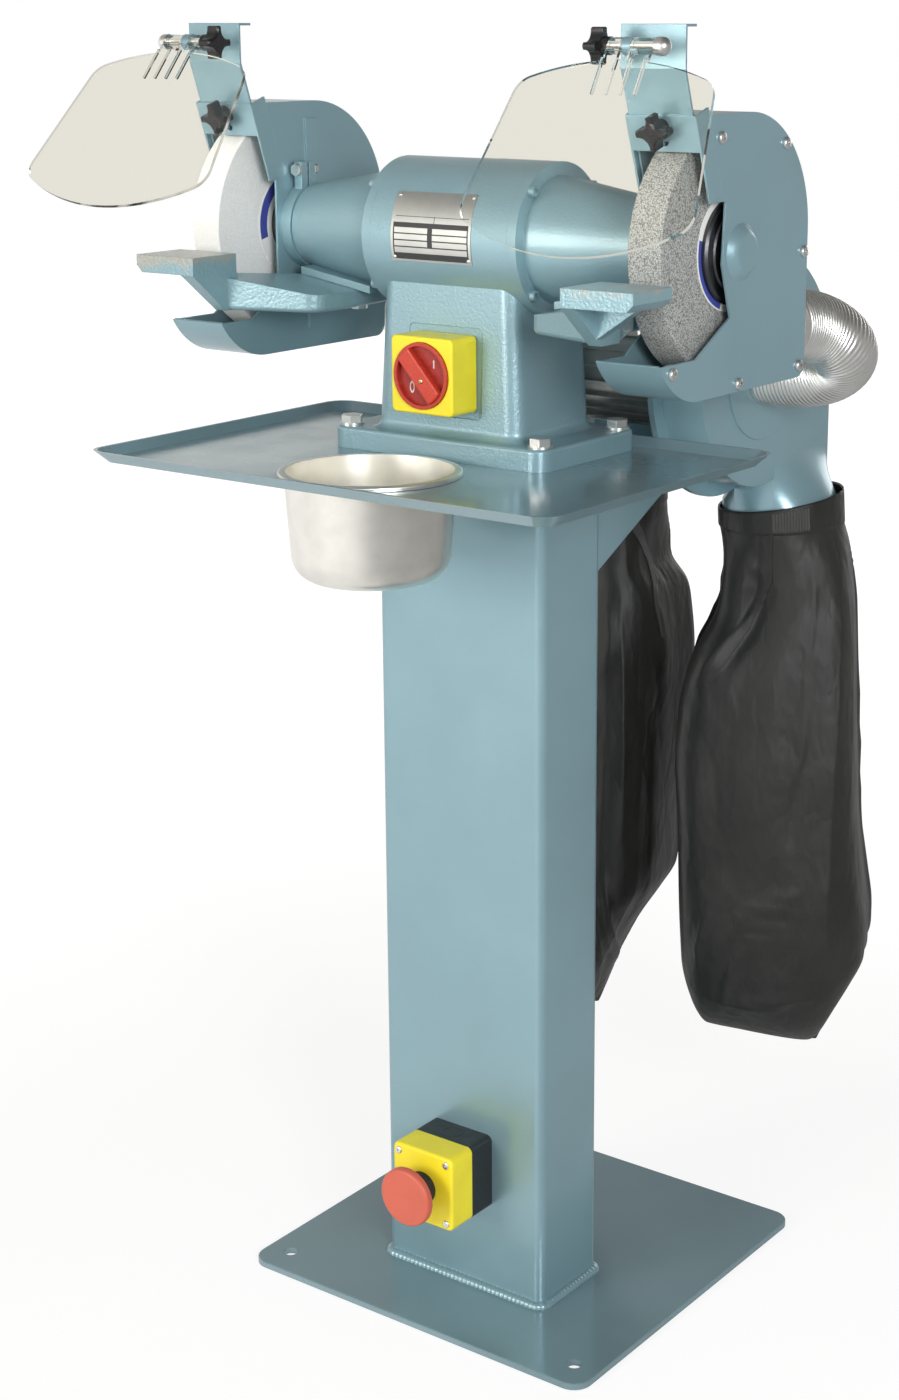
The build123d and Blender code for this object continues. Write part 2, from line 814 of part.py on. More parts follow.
# Grinding wheels
with BuildPart() as wheel:
    with BuildSketch(across(wheel_inner_x)):
        Circle(wheel_radius)
        Circle(spindle_wheel_radius + press_clearance, mode=Mode.SUBTRACT)
    extrude(amount=wheel_width)
    chamfer(wheel.edges().filter_by(GeomType.CIRCLE).sort_by(SortBy.RADIUS)[-2:], wheel_chamfer)
save_pair("wheel", wheel.part)

# Paper blotters between the wheels and their flanges
with BuildPart() as wheel_blotters:
    for x in (wheel_inner_x - blotter_thickness, wheel_outer_x):
        with BuildSketch(across(x)):
            Circle(blotter_diameter / 2)
            Circle(spindle_wheel_radius + press_clearance, mode=Mode.SUBTRACT)
        extrude(amount=blotter_thickness)
    mirror(about=Plane.YZ)
save("wheel_blotters", wheel_blotters.part)

# Clamping flanges
outer_flange_x = wheel_outer_x + blotter_thickness
flange_front_x = outer_flange_x + outer_flange_thickness
boss_end_x = flange_front_x + outer_flange_boss_height
with BuildPart() as wheel_flanges:
    with BuildSketch(spindle_section):
        with BuildLine():
            inner_end_x = inner_flange_x + inner_flange_thickness
            Polyline(
                (inner_flange_x, spindle_wheel_radius + press_clearance),
                (inner_flange_x, inner_flange_diameter / 2 - inner_flange_bevel),
                (inner_flange_x + inner_flange_bevel, inner_flange_diameter / 2),
                (inner_end_x, inner_flange_diameter / 2),
                (inner_end_x, spindle_wheel_radius + press_clearance),
                close=True,
            )
        make_face()
        with BuildLine():
            Polyline(
                (outer_flange_x, spindle_thread_radius + press_clearance),
                (outer_flange_x, outer_flange_diameter / 2),
                (flange_front_x - outer_flange_bevel, outer_flange_diameter / 2),
                (flange_front_x, outer_flange_diameter / 2 - outer_flange_bevel),
                (flange_front_x, outer_flange_boss_diameter / 2 + outer_flange_boss_taper),
                (boss_end_x, outer_flange_boss_diameter / 2),
                (boss_end_x, spindle_thread_radius + press_clearance),
                close=True,
            )
        make_face()
    revolve(axis=spindle_axis)
    mirror(about=Plane.YZ)
save("wheel_flanges", wheel_flanges.part)

# Spindle nuts
with BuildPart() as spindle_nuts:
    with BuildSketch(across(boss_end_x)):
        RegularPolygon(spindle_nut_size / 2, 6, major_radius=False)
        Circle(spindle_thread_radius + press_clearance, mode=Mode.SUBTRACT)
    extrude(amount=spindle_nut_height)
    mirror(about=Plane.YZ)
save("spindle_nuts", spindle_nuts.part)

# Wheel guards. The rim line runs from the scoop's lip round the back to the foot of the front wall.
slope = radians(spark_slope)
spark_along = Vector(sin(slope), -cos(slope))
spark_inward = Vector(cos(slope), sin(slope))
wall_offset = 2 * spark_sheet + slide_clearance
wall_line = Vector(spark_top_y, spark_top_z) + spark_inward * wall_offset


def wall_point(z):
    """Point of the front wall's outer face at a height over the spindle axis."""
    return wall_line + spark_along * ((wall_line.Y - z) / cos(slope))


wall_foot = wall_point(guard_top) + spark_along * front_wall_drop
scoop_lip = (
    scoop_start_y - scoop_radius * sin(radians(scoop_sweep)),
    -guard_bottom + scoop_radius * (1 - cos(radians(scoop_sweep))),
)


def draw_guard_rim():
    """Draw the rim line in the line block around it."""
    scoop = CenterArc(
        (scoop_start_y, scoop_radius - guard_bottom), scoop_radius, 270 - scoop_sweep, scoop_sweep
    )
    heel = CenterArc(
        (guard_rear - guard_heel_radius, guard_heel_radius - guard_bottom), guard_heel_radius, 270, 90
    )
    crown = CenterArc(
        (guard_rear - guard_crown_radius, guard_top - guard_crown_radius), guard_crown_radius, 0, 90
    )
    Line(scoop @ 1, heel @ 0)
    Line(heel @ 1, crown @ 0)
    Polyline(crown @ 1, wall_point(guard_top), wall_foot)


def draw_guard_side(front_edge):
    """Draw a side plate's whole outline: the rim line closed by its own front edge."""
    draw_guard_rim()
    Polyline(wall_foot, wall_point(cover_step_z), *front_edge, scoop_lip)


cover_x = guard_outer_x - guard_sheet
web_plane = Plane(
    origin=(guard_middle_x, spindle_y + spark_top_y, spindle_z + spark_top_z),
    x_dir=(1, 0, 0),
    z_dir=(0, -cos(slope), -sin(slope)),
)
spigot_plane = Plane(
    origin=(spigot_x, spindle_y + guard_rear, spindle_z - spigot_drop), x_dir=(1, 0, 0), z_dir=(0, 1, 0)
)
collar_bore = collar_seat_radius + press_clearance
ear_root_z = sqrt(collar_seat_radius**2 - ear_middle_y**2)
ear_bolt_x = (collar_start_x + ear_end_x) / 2
ear_front_plane = Plane(
    origin=(ear_bolt_x, spindle_y + ear_middle_y - ear_half_width, spindle_z + ear_bolt_z),
    x_dir=(1, 0, 0),
    z_dir=(0, -1, 0),
)
with BuildPart() as guard_shell:
    with BuildSketch(across(guard_inner_x)):
        with BuildLine():
            draw_guard_rim()
            offset(amount=guard_sheet, side=Side.RIGHT)
        make_face()
    extrude(amount=cover_x - guard_inner_x)
    with BuildSketch(across(guard_inner_x)):
        with BuildLine():
            draw_guard_side(inner_front_edge)
        make_face()
    extrude(amount=guard_sheet)
    with BuildSketch(across(collar_start_x)):
        Circle(collar_outer_radius)
    extrude(amount=collar_end_x - collar_start_x)
    with BuildSketch(across(collar_start_x)):
        with Locations((ear_middle_y, (ear_root_z + ear_top_z) / 2)):
            Rectangle(2 * ear_half_width, ear_top_z - ear_root_z)
    extrude(amount=ear_end_x - collar_start_x)
    with BuildSketch(across(guard_inner_x)):
        with Locations((strap_middle_y, 0)):
            Rectangle(strap_width, 2 * strap_half_length)
    extrude(amount=-guard_sheet)
    with BuildSketch(across(collar_start_x)):
        Circle(collar_bore)
    extrude(amount=cover_x - guard_sheet - collar_start_x, mode=Mode.SUBTRACT)
    with BuildSketch(across(collar_start_x)):
        with Locations((ear_middle_y, (ear_root_z + ear_top_z) / 2)):
            Rectangle(ear_slit, ear_top_z - ear_root_z + 2 * ear_slit)
    extrude(amount=ear_end_x - collar_start_x, mode=Mode.SUBTRACT)
    with BuildSketch(ear_front_plane):
        Circle(clamp_bolt_diameter / 2 + bolt_clearance)
    extrude(amount=-2 * ear_half_width, mode=Mode.SUBTRACT)
    with BuildSketch(across(cover_x - guard_sheet)):
        with Locations(*cover_screws_at):
            Circle(cover_tab_radius)
        first_screw = cover_screws_at[0]
        with Locations((first_screw[0], (first_screw[1] + guard_top) / 2)):
            Rectangle(2 * cover_tab_radius, guard_top - first_screw[1])
        with BuildLine():
            draw_guard_side(cover_front_edge)
        make_face(mode=Mode.INTERSECT)
        with Locations(*cover_screws_at):
            Circle(cover_screw_diameter / 2 + press_clearance, mode=Mode.SUBTRACT)
    extrude(amount=guard_sheet)
    with BuildSketch(spigot_plane):
        Circle(spigot_outer_radius)
    extrude(amount=spigot_length)
    with BuildSketch(spigot_plane.offset(-2 * guard_sheet)):
        Circle(spigot_outer_radius - spigot_wall)
    extrude(amount=spigot_length + 2 * guard_sheet, mode=Mode.SUBTRACT)
    with BuildSketch(web_plane):
        with Locations((0, -knob_drop)):
            Circle(knob_screw_diameter / 2 + slide_clearance)
    extrude(amount=-wall_offset - 2 * guard_sheet, mode=Mode.SUBTRACT)
save_pair("guard_shell", guard_shell.part)

# Screwed guard covers with the pressed dome over the spindle nut
with BuildPart() as guard_cover:
    with BuildSketch(across(cover_x)):
        with BuildLine():
            draw_guard_side(cover_front_edge)
        make_face()
        with Locations(*cover_screws_at):
            Circle(cover_screw_diameter / 2 + bolt_clearance, mode=Mode.SUBTRACT)
    extrude(amount=guard_sheet)
    for sheet, mode in ((0.0, Mode.ADD), (guard_sheet, Mode.SUBTRACT)):
        with BuildSketch(spindle_section):
            with BuildLine():
                foot_x = guard_outer_x - sheet
                top_x = guard_outer_x + dome_height - sheet
                Line((foot_x, 0), (foot_x, dome_base_radius - sheet))
                crown_radius = dome_top_radius - sheet
                brow_start = (top_x - dome_brow_height, crown_radius + dome_brow_flare)
                side = Line((foot_x, dome_base_radius - sheet), brow_start)
                brow = TangentArc(side @ 1, (top_x, crown_radius - dome_brow_inset), tangent=side % 1)
                Polyline(brow @ 1, (top_x, 0), (foot_x, 0))
            make_face()
        revolve(axis=spindle_axis, mode=mode)
save_pair("guard_cover", guard_cover.part)

# Cover screws of both guards
with BuildPart() as cover_screws:
    with BuildSketch(across(guard_outer_x)):
        with Locations(*cover_screws_at):
            Circle(cover_screw_head_diameter / 2)
    extrude(amount=cover_screw_head_height)
    head_tops = cover_screws.faces().sort_by(Axis.X)[-len(cover_screws_at):]
    chamfer(head_tops.edges(), cover_screw_head_bevel)
    with BuildSketch(across(guard_outer_x)):
        with Locations(*cover_screws_at):
            Circle(cover_screw_diameter / 2)
    extrude(amount=-cover_screw_length)
    mirror(about=Plane.YZ)
save("cover_screws", cover_screws.part)

# Clamp bolts with their nuts, through the ears of the collars
with BuildPart() as clamp_bolts:
    with BuildSketch(ear_front_plane):
        RegularPolygon(clamp_bolt_head / 2, 6, major_radius=False, rotation=30)
    extrude(amount=clamp_bolt_head_height)
    with BuildSketch(ear_front_plane):
        Circle(clamp_bolt_diameter / 2)
    extrude(amount=-2 * ear_half_width - clamp_bolt_head_height - clamp_bolt_tail)
    with BuildSketch(ear_front_plane.offset(-2 * ear_half_width)):
        RegularPolygon(clamp_bolt_head / 2, 6, major_radius=False, rotation=30)
    extrude(amount=-clamp_bolt_head_height)
    mirror(about=Plane.YZ)
save("clamp_bolts", clamp_bolts.part)

# Spark plates: a slotted web between two flanges that hug the guard
spark_inner_x = guard_inner_x - spark_side_gap - spark_sheet
spark_outer_x = guard_outer_x + spark_side_gap + spark_sheet
slot_length = spark_travel_up + spark_travel_down
slot_middle = knob_drop + (spark_travel_up - spark_travel_down) / 2
slot_width = knob_screw_diameter + 2 * bolt_clearance
with BuildPart() as spark_plate:
    with BuildSketch(web_plane):
        with Locations((0, -spark_web_length / 2)):
            Rectangle(spark_outer_x - spark_inner_x, spark_web_length)
        with Locations((0, -slot_middle)):
            SlotCenterToCenter(slot_length, slot_width, rotation=90, mode=Mode.SUBTRACT)
    extrude(amount=-spark_sheet)
    for x in (spark_inner_x, spark_outer_x - spark_sheet):
        with BuildSketch(across(x)):
            with BuildLine():
                top_front = Vector(spark_top_y, spark_top_z)
                low_front = top_front + spark_along * spark_flange_length
                reach = spark_inward * spark_flange_depth
                Polyline(top_front, low_front, low_front + reach, top_front + reach, close=True)
            make_face()
        extrude(amount=spark_sheet)
save_pair("spark_plate", spark_plate.part)

# Shield arms: a bent strip behind the spark web, with an ear for the hinge rod
leg_line = Vector(spark_top_y, spark_top_z) + spark_inward * spark_sheet
leg_foot = leg_line + spark_along * arm_overlap
arm_bend = leg_line + spark_along * ((leg_line.Y - arm_bend_z) / cos(slope))
with BuildPart() as shield_arm:
    with BuildSketch(across(arm_inner_x)):
        with BuildLine():
            Polyline(leg_foot, arm_bend, (arm_bend.X, arm_top_z), (arm_bend.X + arm_top_flange, arm_top_z))
            offset(amount=spark_sheet, side=Side.RIGHT)
        make_face()
    extrude(amount=arm_width)
    with BuildSketch(across(hinge_ear_x - hinge_ear_width / 2)):
        with Locations((hinge_y, hinge_z)):
            Circle(hinge_ear_radius)
        with Locations(((hinge_y + arm_bend.X) / 2, hinge_z)):
            Rectangle(arm_bend.X - hinge_y, hinge_ear_neck)
        with Locations((hinge_y, hinge_z)):
            Circle(hinge_rod_radius + press_clearance, mode=Mode.SUBTRACT)
    extrude(amount=hinge_ear_width)
    with BuildSketch(web_plane.offset(-spark_sheet)):
        with Locations((0, -slot_middle)):
            SlotCenterToCenter(slot_length, slot_width, rotation=90)
    extrude(amount=-spark_sheet, mode=Mode.SUBTRACT)
save_pair("shield_arm", shield_arm.part)

# Hinge rods with a cap nut on the outer end
ear_inner_x = hinge_ear_x - hinge_ear_width / 2
ear_outer_x = hinge_ear_x + hinge_ear_width / 2
barrel_inner_x = ear_inner_x - barrel_gap - shield_barrel_inner_length
barrel_outer_x = ear_outer_x + barrel_gap + shield_barrel_outer_length
cap_nut_x = barrel_outer_x + barrel_gap
shield_knob_x = barrel_inner_x - barrel_gap
hinge_section = Plane(
    origin=(0, spindle_y + hinge_y, spindle_z + hinge_z), x_dir=(1, 0, 0), z_dir=(0, -1, 0)
)
hinge_axis = Axis(hinge_section.origin, (1, 0, 0))
rod_start_x = shield_knob_x - knob_hub_length - knob_star_thickness / 2
with BuildPart() as hinge_rod:
    with BuildSketch(hinge_section):
        with BuildLine():
            Polyline(
                (rod_start_x, 0),
                (rod_start_x, hinge_rod_radius),
                (cap_nut_x, hinge_rod_radius),
                (cap_nut_x, cap_nut_radius),
                (cap_nut_x + cap_nut_skirt, cap_nut_radius),
            )
            dome = CenterArc((cap_nut_x + cap_nut_skirt, 0), cap_nut_radius, 0, 90)
            Line(dome @ 0, (rod_start_x, 0))
        make_face()
    revolve(axis=hinge_axis)
save_pair("hinge_rod", hinge_rod.part)


def star_knob(plane, screw_length, bore_length):
    """Four-lobed knob. The plane's normal runs from its hub's seat out through the star."""
    with BuildPart() as knob:
        with BuildSketch(plane):
            Circle(knob_hub_radius)
        extrude(amount=knob_hub_length)
        with BuildSketch(plane.offset(knob_hub_length)):
            with BuildLine():
                shoulder = knob_star_radius - knob_tip_crown
                tip_start = Vector(shoulder, -knob_tip_half_width)
                tip_end = Vector(shoulder, knob_tip_half_width)
                waist = Vector(knob_star_waist, 0).rotate(Axis.Z, 45)
                for angle in (0, 90, 180, 270):
                    tip = Vector(knob_star_radius, 0).rotate(Axis.Z, angle)
                    lobe_end = tip_end.rotate(Axis.Z, angle)
                    ThreePointArc(tip_start.rotate(Axis.Z, angle), tip, lobe_end)
                    next_lobe = tip_start.rotate(Axis.Z, angle + 90)
                    ThreePointArc(lobe_end, waist.rotate(Axis.Z, angle), next_lobe)
            make_face()
        extrude(amount=knob_star_thickness)
        chamfer(knob.faces().sort_by(Axis(plane.origin, plane.z_dir))[-1].edges(), knob_edge_bevel)
        if screw_length:
            with BuildSketch(plane):
                Circle(knob_screw_diameter / 2)
            extrude(amount=-screw_length)
        if bore_length:
            with BuildSketch(plane):
                Circle(hinge_rod_radius + running_clearance)
            extrude(amount=bore_length, mode=Mode.SUBTRACT)
    return knob.part


shield_knob_plane = Plane(
    origin=(shield_knob_x, spindle_y + hinge_y, spindle_z + hinge_z), x_dir=(0, 1, 0), z_dir=(-1, 0, 0)
)
rod_in_knob = shield_knob_x - rod_start_x + slide_clearance
save_pair("shield_knob", star_knob(shield_knob_plane, 0, rod_in_knob))
knob_seat = web_plane.origin - web_plane.y_dir * knob_drop + web_plane.z_dir * slide_clearance
spark_knob_plane = Plane(origin=knob_seat, x_dir=web_plane.x_dir, z_dir=web_plane.z_dir)
spark_screw_length = slide_clearance + wall_offset + 2 * guard_sheet
save_pair("spark_knob", star_knob(spark_knob_plane, spark_screw_length, 0))


# Clear shields: a bowed sheet on two hinge barrels, with ribs down the strap that carries it
def clear_shield(tilt):
    lean = radians(tilt)
    front = Vector(0, -cos(lean), sin(lean))
    sheet_plane = Plane(
        origin=Vector(hinge_ear_x, spindle_y + hinge_y, spindle_z + hinge_z) + front * shield_offset,
        x_dir=(1, 0, 0),
        z_dir=front,
    )
    strap_left = barrel_inner_x - hinge_ear_x
    strap_right = barrel_outer_x - hinge_ear_x
    with BuildPart() as shield:
        with BuildSketch(sheet_plane):
            with BuildLine():
                top = ThreePointArc(
                    (-shield_top_half_width, -shield_shoulder),
                    (0, -shield_crown),
                    (shield_top_half_width, -shield_shoulder),
                )
                hem = ThreePointArc(
                    (-shield_bottom_half_width, -shield_hip),
                    (0, -shield_bottom),
                    (shield_bottom_half_width, -shield_hip),
                )
                Line(top @ 0, hem @ 0)
                Line(top @ 1, hem @ 1)
            face = make_face()
            fillet(face.vertices(), shield_corner_radius)
            with Locations(((strap_left + strap_right) / 2, -shield_strap_end / 2)):
                Rectangle(strap_right - strap_left, shield_strap_end)
            with Locations((0, 0)):
                Rectangle(hinge_ear_width + 2 * barrel_gap, 2 * shield_notch_depth, mode=Mode.SUBTRACT)
        extrude(amount=shield_sheet / 2, both=True)
        with BuildSketch(sheet_plane.offset(shield_sheet / 2)):
            rib_pitch = (strap_right - strap_left - shield_rib_width) / (shield_rib_count - 1)
            rib_length = shield_strap_end - shield_notch_depth
            with Locations(((strap_left + strap_right) / 2, -shield_strap_end + rib_length / 2)):
                with GridLocations(rib_pitch, 0, shield_rib_count, 1):
                    Rectangle(shield_rib_width, rib_length)
        extrude(amount=shield_rib_height)
        for x, length in (
            (barrel_inner_x, shield_barrel_inner_length),
            (ear_outer_x + barrel_gap, shield_barrel_outer_length),
        ):
            with BuildSketch(across(x)):
                with Locations((hinge_y, hinge_z)):
                    Circle(shield_barrel_radius)
            extrude(amount=length)
            with BuildSketch(across(x)):
                with Locations((hinge_y, hinge_z)):
                    Circle(hinge_rod_radius + running_clearance)
            extrude(amount=length, mode=Mode.SUBTRACT)
    return shield.part


save("shield_right", clear_shield(shield_tilt_right))
save("shield_left", mirror(clear_shield(shield_tilt_left), about=Plane.YZ))

# Tool rests: table, web and slotted arm in one casting
rest_web_x = rest_inner_x + rest_web_thickness


def rest_seat_z(x):
    """Top of the rest's arm, just under the lug."""
    return lug_face_z(x) - slide_clearance


tail_plane = Plane(
    origin=(0, spindle_y + rest_arm_tail_y, spindle_z), x_dir=(1, 0, 0), z_dir=(0, -1, 0)
)
with BuildPart() as tool_rest:
    with BuildSketch(tail_plane):
        with BuildLine():
            Polyline(
                (rest_arm_inner_x, rest_seat_z(rest_arm_inner_x)),
                (rest_web_x, rest_seat_z(rest_web_x)),
                (rest_web_x, rest_arm_bottom_z),
                (rest_arm_inner_x, rest_arm_bottom_z),
                close=True,
            )
        make_face()
    extrude(amount=rest_arm_tail_y - rest_arm_front_y)
    with BuildSketch(level(rest_arm_bottom_z)) as tool_rest_plan:
        with BuildLine():
            lug_clear_x = snout_end_x - rest_tail_inset
            Polyline(
                (rest_web_x, rest_arm_front_y),
                (rest_web_x, rest_arm_back_y),
                (lug_clear_x, -lug_half_width),
                (lug_clear_x, rest_arm_tail_y),
                (rest_bolt_xs[0] - rest_tail_corner, rest_arm_tail_y),
                (rest_arm_inner_x, -lug_half_width),
                (rest_arm_inner_x, rest_nose_y),
                close=True,
            )
        make_face()
        nose = tool_rest_plan.vertices().sort_by_distance((rest_arm_inner_x, rest_nose_y))[0]
        fillet(nose, rest_nose_radius)
    extrude(amount=-rest_arm_bottom_z, mode=Mode.INTERSECT)
    under_edges = tool_rest.faces().sort_by(Axis.Z)[0].edges()
    fillet(under_edges.sort_by(Axis.X)[:-1], rest_edge_radius)
    with BuildSketch(across(rest_inner_x)):
        with BuildLine():
            table_under_z = rest_top_z - rest_thickness
            Polyline(
                (rest_front_y, table_under_z),
                (rest_rear_y, table_under_z),
                (rest_arm_back_y, rest_arm_bottom_z),
                (rest_arm_front_y, rest_arm_bottom_z),
                close=True,
            )
        make_face()
    extrude(amount=rest_web_thickness)
    gusset_y = rest_rear_y - rest_gusset_inset
    with BuildSketch(Plane(origin=(0, spindle_y + gusset_y, spindle_z), x_dir=(1, 0, 0), z_dir=(0, -1, 0))):
        with BuildLine():
            Polyline(
                (rest_web_x, table_under_z),
                (rest_web_x + rest_gusset_reach, table_under_z),
                (rest_web_x, rest_arm_bottom_z + rest_gusset_rise),
                close=True,
            )
        make_face()
    extrude(amount=rest_gusset_thickness)
    with BuildSketch(level(table_under_z)):
        with Locations(((rest_inner_x + rest_outer_x) / 2, (rest_front_y + rest_rear_y) / 2)):
            Rectangle(rest_outer_x - rest_inner_x, rest_rear_y - rest_front_y)
    extrude(amount=rest_thickness)
    table_outer_face = tool_rest.faces().sort_by(Axis.X)[-1]
    chamfer(table_outer_face.edges().sort_by(Axis.Z)[0], rest_bevel)
    with BuildSketch(level(rest_arm_bottom_z)):
        with Locations(*[(x, rest_travel / 2) for x in rest_bolt_xs]):
            SlotCenterToCenter(rest_travel + 2 * bolt_clearance, rest_slot_width, rotation=90)
    extrude(amount=-rest_arm_bottom_z, mode=Mode.SUBTRACT)
save_pair("tool_rest", tool_rest.part)

# Bolts that hold the tool rests up against the lugs
with BuildPart() as rest_bolts:
    for x in rest_bolt_xs:
        head_z = rest_arm_bottom_z - slide_clearance
        with BuildSketch(level(head_z)):
            with Locations((x, 0)):
                RegularPolygon(rest_bolt_head / 2, 6, major_radius=False)
        extrude(amount=-rest_bolt_head_height)
        with BuildSketch(level(head_z)):
            with Locations((x, 0)):
                Circle(rest_bolt_diameter / 2)
        extrude(amount=lug_face_z(x) + rest_bolt_grip - head_z)
    mirror(about=Plane.YZ)
save("rest_bolts", rest_bolts.part)

# Main switch: gasket, box and turning handle
with BuildPart() as switch_gasket:
    with BuildSketch(switch_plane):
        RectangleRounded(gasket_size, gasket_size, switch_corner_radius)
    extrude(amount=gasket_thickness)
save("switch_gasket", switch_gasket.part)

switch_front = switch_plane.offset(gasket_thickness + switch_depth)
with BuildPart() as switch_box:
    with BuildSketch(switch_plane.offset(gasket_thickness)):
        RectangleRounded(switch_size, switch_size, switch_corner_radius)
    extrude(amount=switch_depth)
    fillet(switch_box.faces().sort_by(Axis.Y)[0].edges(), switch_edge_radius)
    with BuildSketch(switch_front):
        Circle(handle_radius + slide_clearance)
    extrude(amount=-handle_pocket_depth, mode=Mode.SUBTRACT)
    with BuildSketch(switch_front):
        Circle(handle_shaft_radius + running_clearance)
    extrude(amount=-handle_pocket_depth - handle_shaft_length, mode=Mode.SUBTRACT)
save("switch_box", switch_box.part)

handle_back = switch_front.offset(slide_clearance - handle_pocket_depth)
handle_face = handle_back.offset(handle_disc_thickness)
with BuildPart() as switch_handle:
    with BuildSketch(handle_back):
        Circle(handle_radius)
    extrude(amount=handle_disc_thickness)
    with BuildSketch(handle_face):
        Circle(handle_radius - handle_rim_width)
        Rectangle(2 * handle_radius, handle_grip_width, rotation=handle_angle, mode=Mode.SUBTRACT)
    extrude(amount=-handle_recess_depth, mode=Mode.SUBTRACT)
    with BuildSketch(handle_face):
        Circle(handle_radius - handle_rim_width)
        Rectangle(2 * handle_radius, handle_grip_width, rotation=handle_angle, mode=Mode.INTERSECT)
    extrude(amount=handle_grip_height)
    fillet(switch_handle.faces().sort_by(Axis.Y)[0].edges(), handle_edge_radius)
    with BuildSketch(handle_back):
        Circle(handle_shaft_radius)
    extrude(amount=-handle_shaft_length)
save("switch_handle", switch_handle.part)

# Stop station on the column's front
stop_plane = Plane(origin=(0, column_front_y, stop_z), x_dir=(1, 0, 0), z_dir=(0, -1, 0))
stop_lid_plane = stop_plane.offset(stop_base_depth)
stop_front = stop_lid_plane.offset(stop_lid_depth)
stop_seat = stop_front.offset(stop_collar_height + stop_travel + slide_clearance)
stop_screw_spread = (stop_width - 2 * stop_screw_inset, stop_height - 2 * stop_screw_inset)
stem_bore = stop_stem_radius + slide_clearance
with BuildPart() as stop_base:
    with BuildSketch(stop_plane):
        RectangleRounded(stop_width, stop_height, stop_corner_radius)
    extrude(amount=stop_base_depth)
    with BuildSketch(stop_plane.offset(stop_wall)):
        Circle(stop_width / 2 - 2 * stop_wall)
    extrude(amount=stop_base_depth, mode=Mode.SUBTRACT)
    with BuildSketch(stop_lid_plane):
        with GridLocations(*stop_screw_spread, 2, 2):
            Circle(stop_screw_diameter / 2 + press_clearance)
    extrude(amount=-stop_screw_hole, mode=Mode.SUBTRACT)
save("stop_base", stop_base.part)

with BuildPart() as stop_lid:
    with BuildSketch(stop_lid_plane):
        RectangleRounded(stop_width, stop_height, stop_corner_radius)
    extrude(amount=stop_lid_depth)
    fillet(stop_lid.faces().sort_by(Axis.Y)[0].edges(), stop_edge_radius)
    with BuildSketch(stop_lid_plane):
        Circle(stem_bore)
        with GridLocations(*stop_screw_spread, 2, 2):
            Circle(stop_screw_diameter / 2 + bolt_clearance)
    extrude(amount=stop_lid_depth, mode=Mode.SUBTRACT)
save("stop_lid", stop_lid.part)

with BuildPart() as stop_lid_screws:
    with BuildSketch(stop_front):
        with GridLocations(*stop_screw_spread, 2, 2):
            Circle(stop_screw_head_diameter / 2)
    extrude(amount=stop_screw_head_height)
    with BuildSketch(stop_front):
        with GridLocations(*stop_screw_spread, 2, 2):
            Circle(stop_screw_diameter / 2)
    extrude(amount=-stop_screw_length)
save("stop_lid_screws", stop_lid_screws.part)

with BuildPart() as stop_collar:
    with BuildSketch(stop_front):
        Circle(stop_collar_radius)
        Circle(stem_bore, mode=Mode.SUBTRACT)
    extrude(amount=stop_collar_height)
save("stop_collar", stop_collar.part)

with BuildPart() as stop_button:
    with BuildSketch(stop_seat):
        Circle(stop_button_radius)
    extrude(amount=stop_button_thickness)
    button_edges = stop_button.edges().filter_by(GeomType.CIRCLE).sort_by(Axis.Y)
    fillet(button_edges[0], stop_button_crown)
    chamfer(button_edges[-1], stop_button_back_rise, stop_button_back_inset)
    with BuildSketch(stop_seat):
        Circle(stop_stem_radius)
    extrude(amount=-stop_collar_height - stop_travel - stop_lid_depth)
save("stop_button", stop_button.part)

# Dust fans: two mirrored housings on one double-ended motor
fan_y = spindle_y + fan_back
fan_z = spindle_z - fan_drop
fan_face_x = fan_middle_x + fan_face
drum_back_x = fan_face_x - fan_drum_depth
flange_x = drum_back_x - fan_flange_thickness
drum_middle_x = fan_face_x - fan_drum_depth / 2
outlet_middle_y = (fan_outlet_front + fan_outlet_rear) / 2
outlet_depth = fan_outlet_rear - fan_outlet_front


def fan_across(x):
    """Plane square to the fan shaft at x: local x runs back and local y up, from the shaft's axis."""
    return Plane(origin=(x, fan_y, fan_z), x_dir=(0, 1, 0), z_dir=(1, 0, 0))


def fan_level(drop):
    """Level plane below the fan shaft, over the middle of the outlet."""
    return Plane(
        origin=(drum_middle_x, fan_y + outlet_middle_y, fan_z - drop), x_dir=(1, 0, 0), z_dir=(0, 0, 1)
    )


def draw_outlet(inset):
    """Draw the scroll's outlet in the line block around it: from the drum's top back and down."""
    drum = fan_drum_radius - inset
    rear = fan_outlet_rear - inset
    front = fan_outlet_front + inset
    bottom = -fan_throat_drop - inset
    middle = (drum + rear) / 2
    ThreePointArc((0, drum), (middle * cos(radians(45)), middle * sin(radians(45))), (rear, 0))
    Polyline((rear, 0), (rear, bottom), (front, bottom), (front, 0), (0, drum))


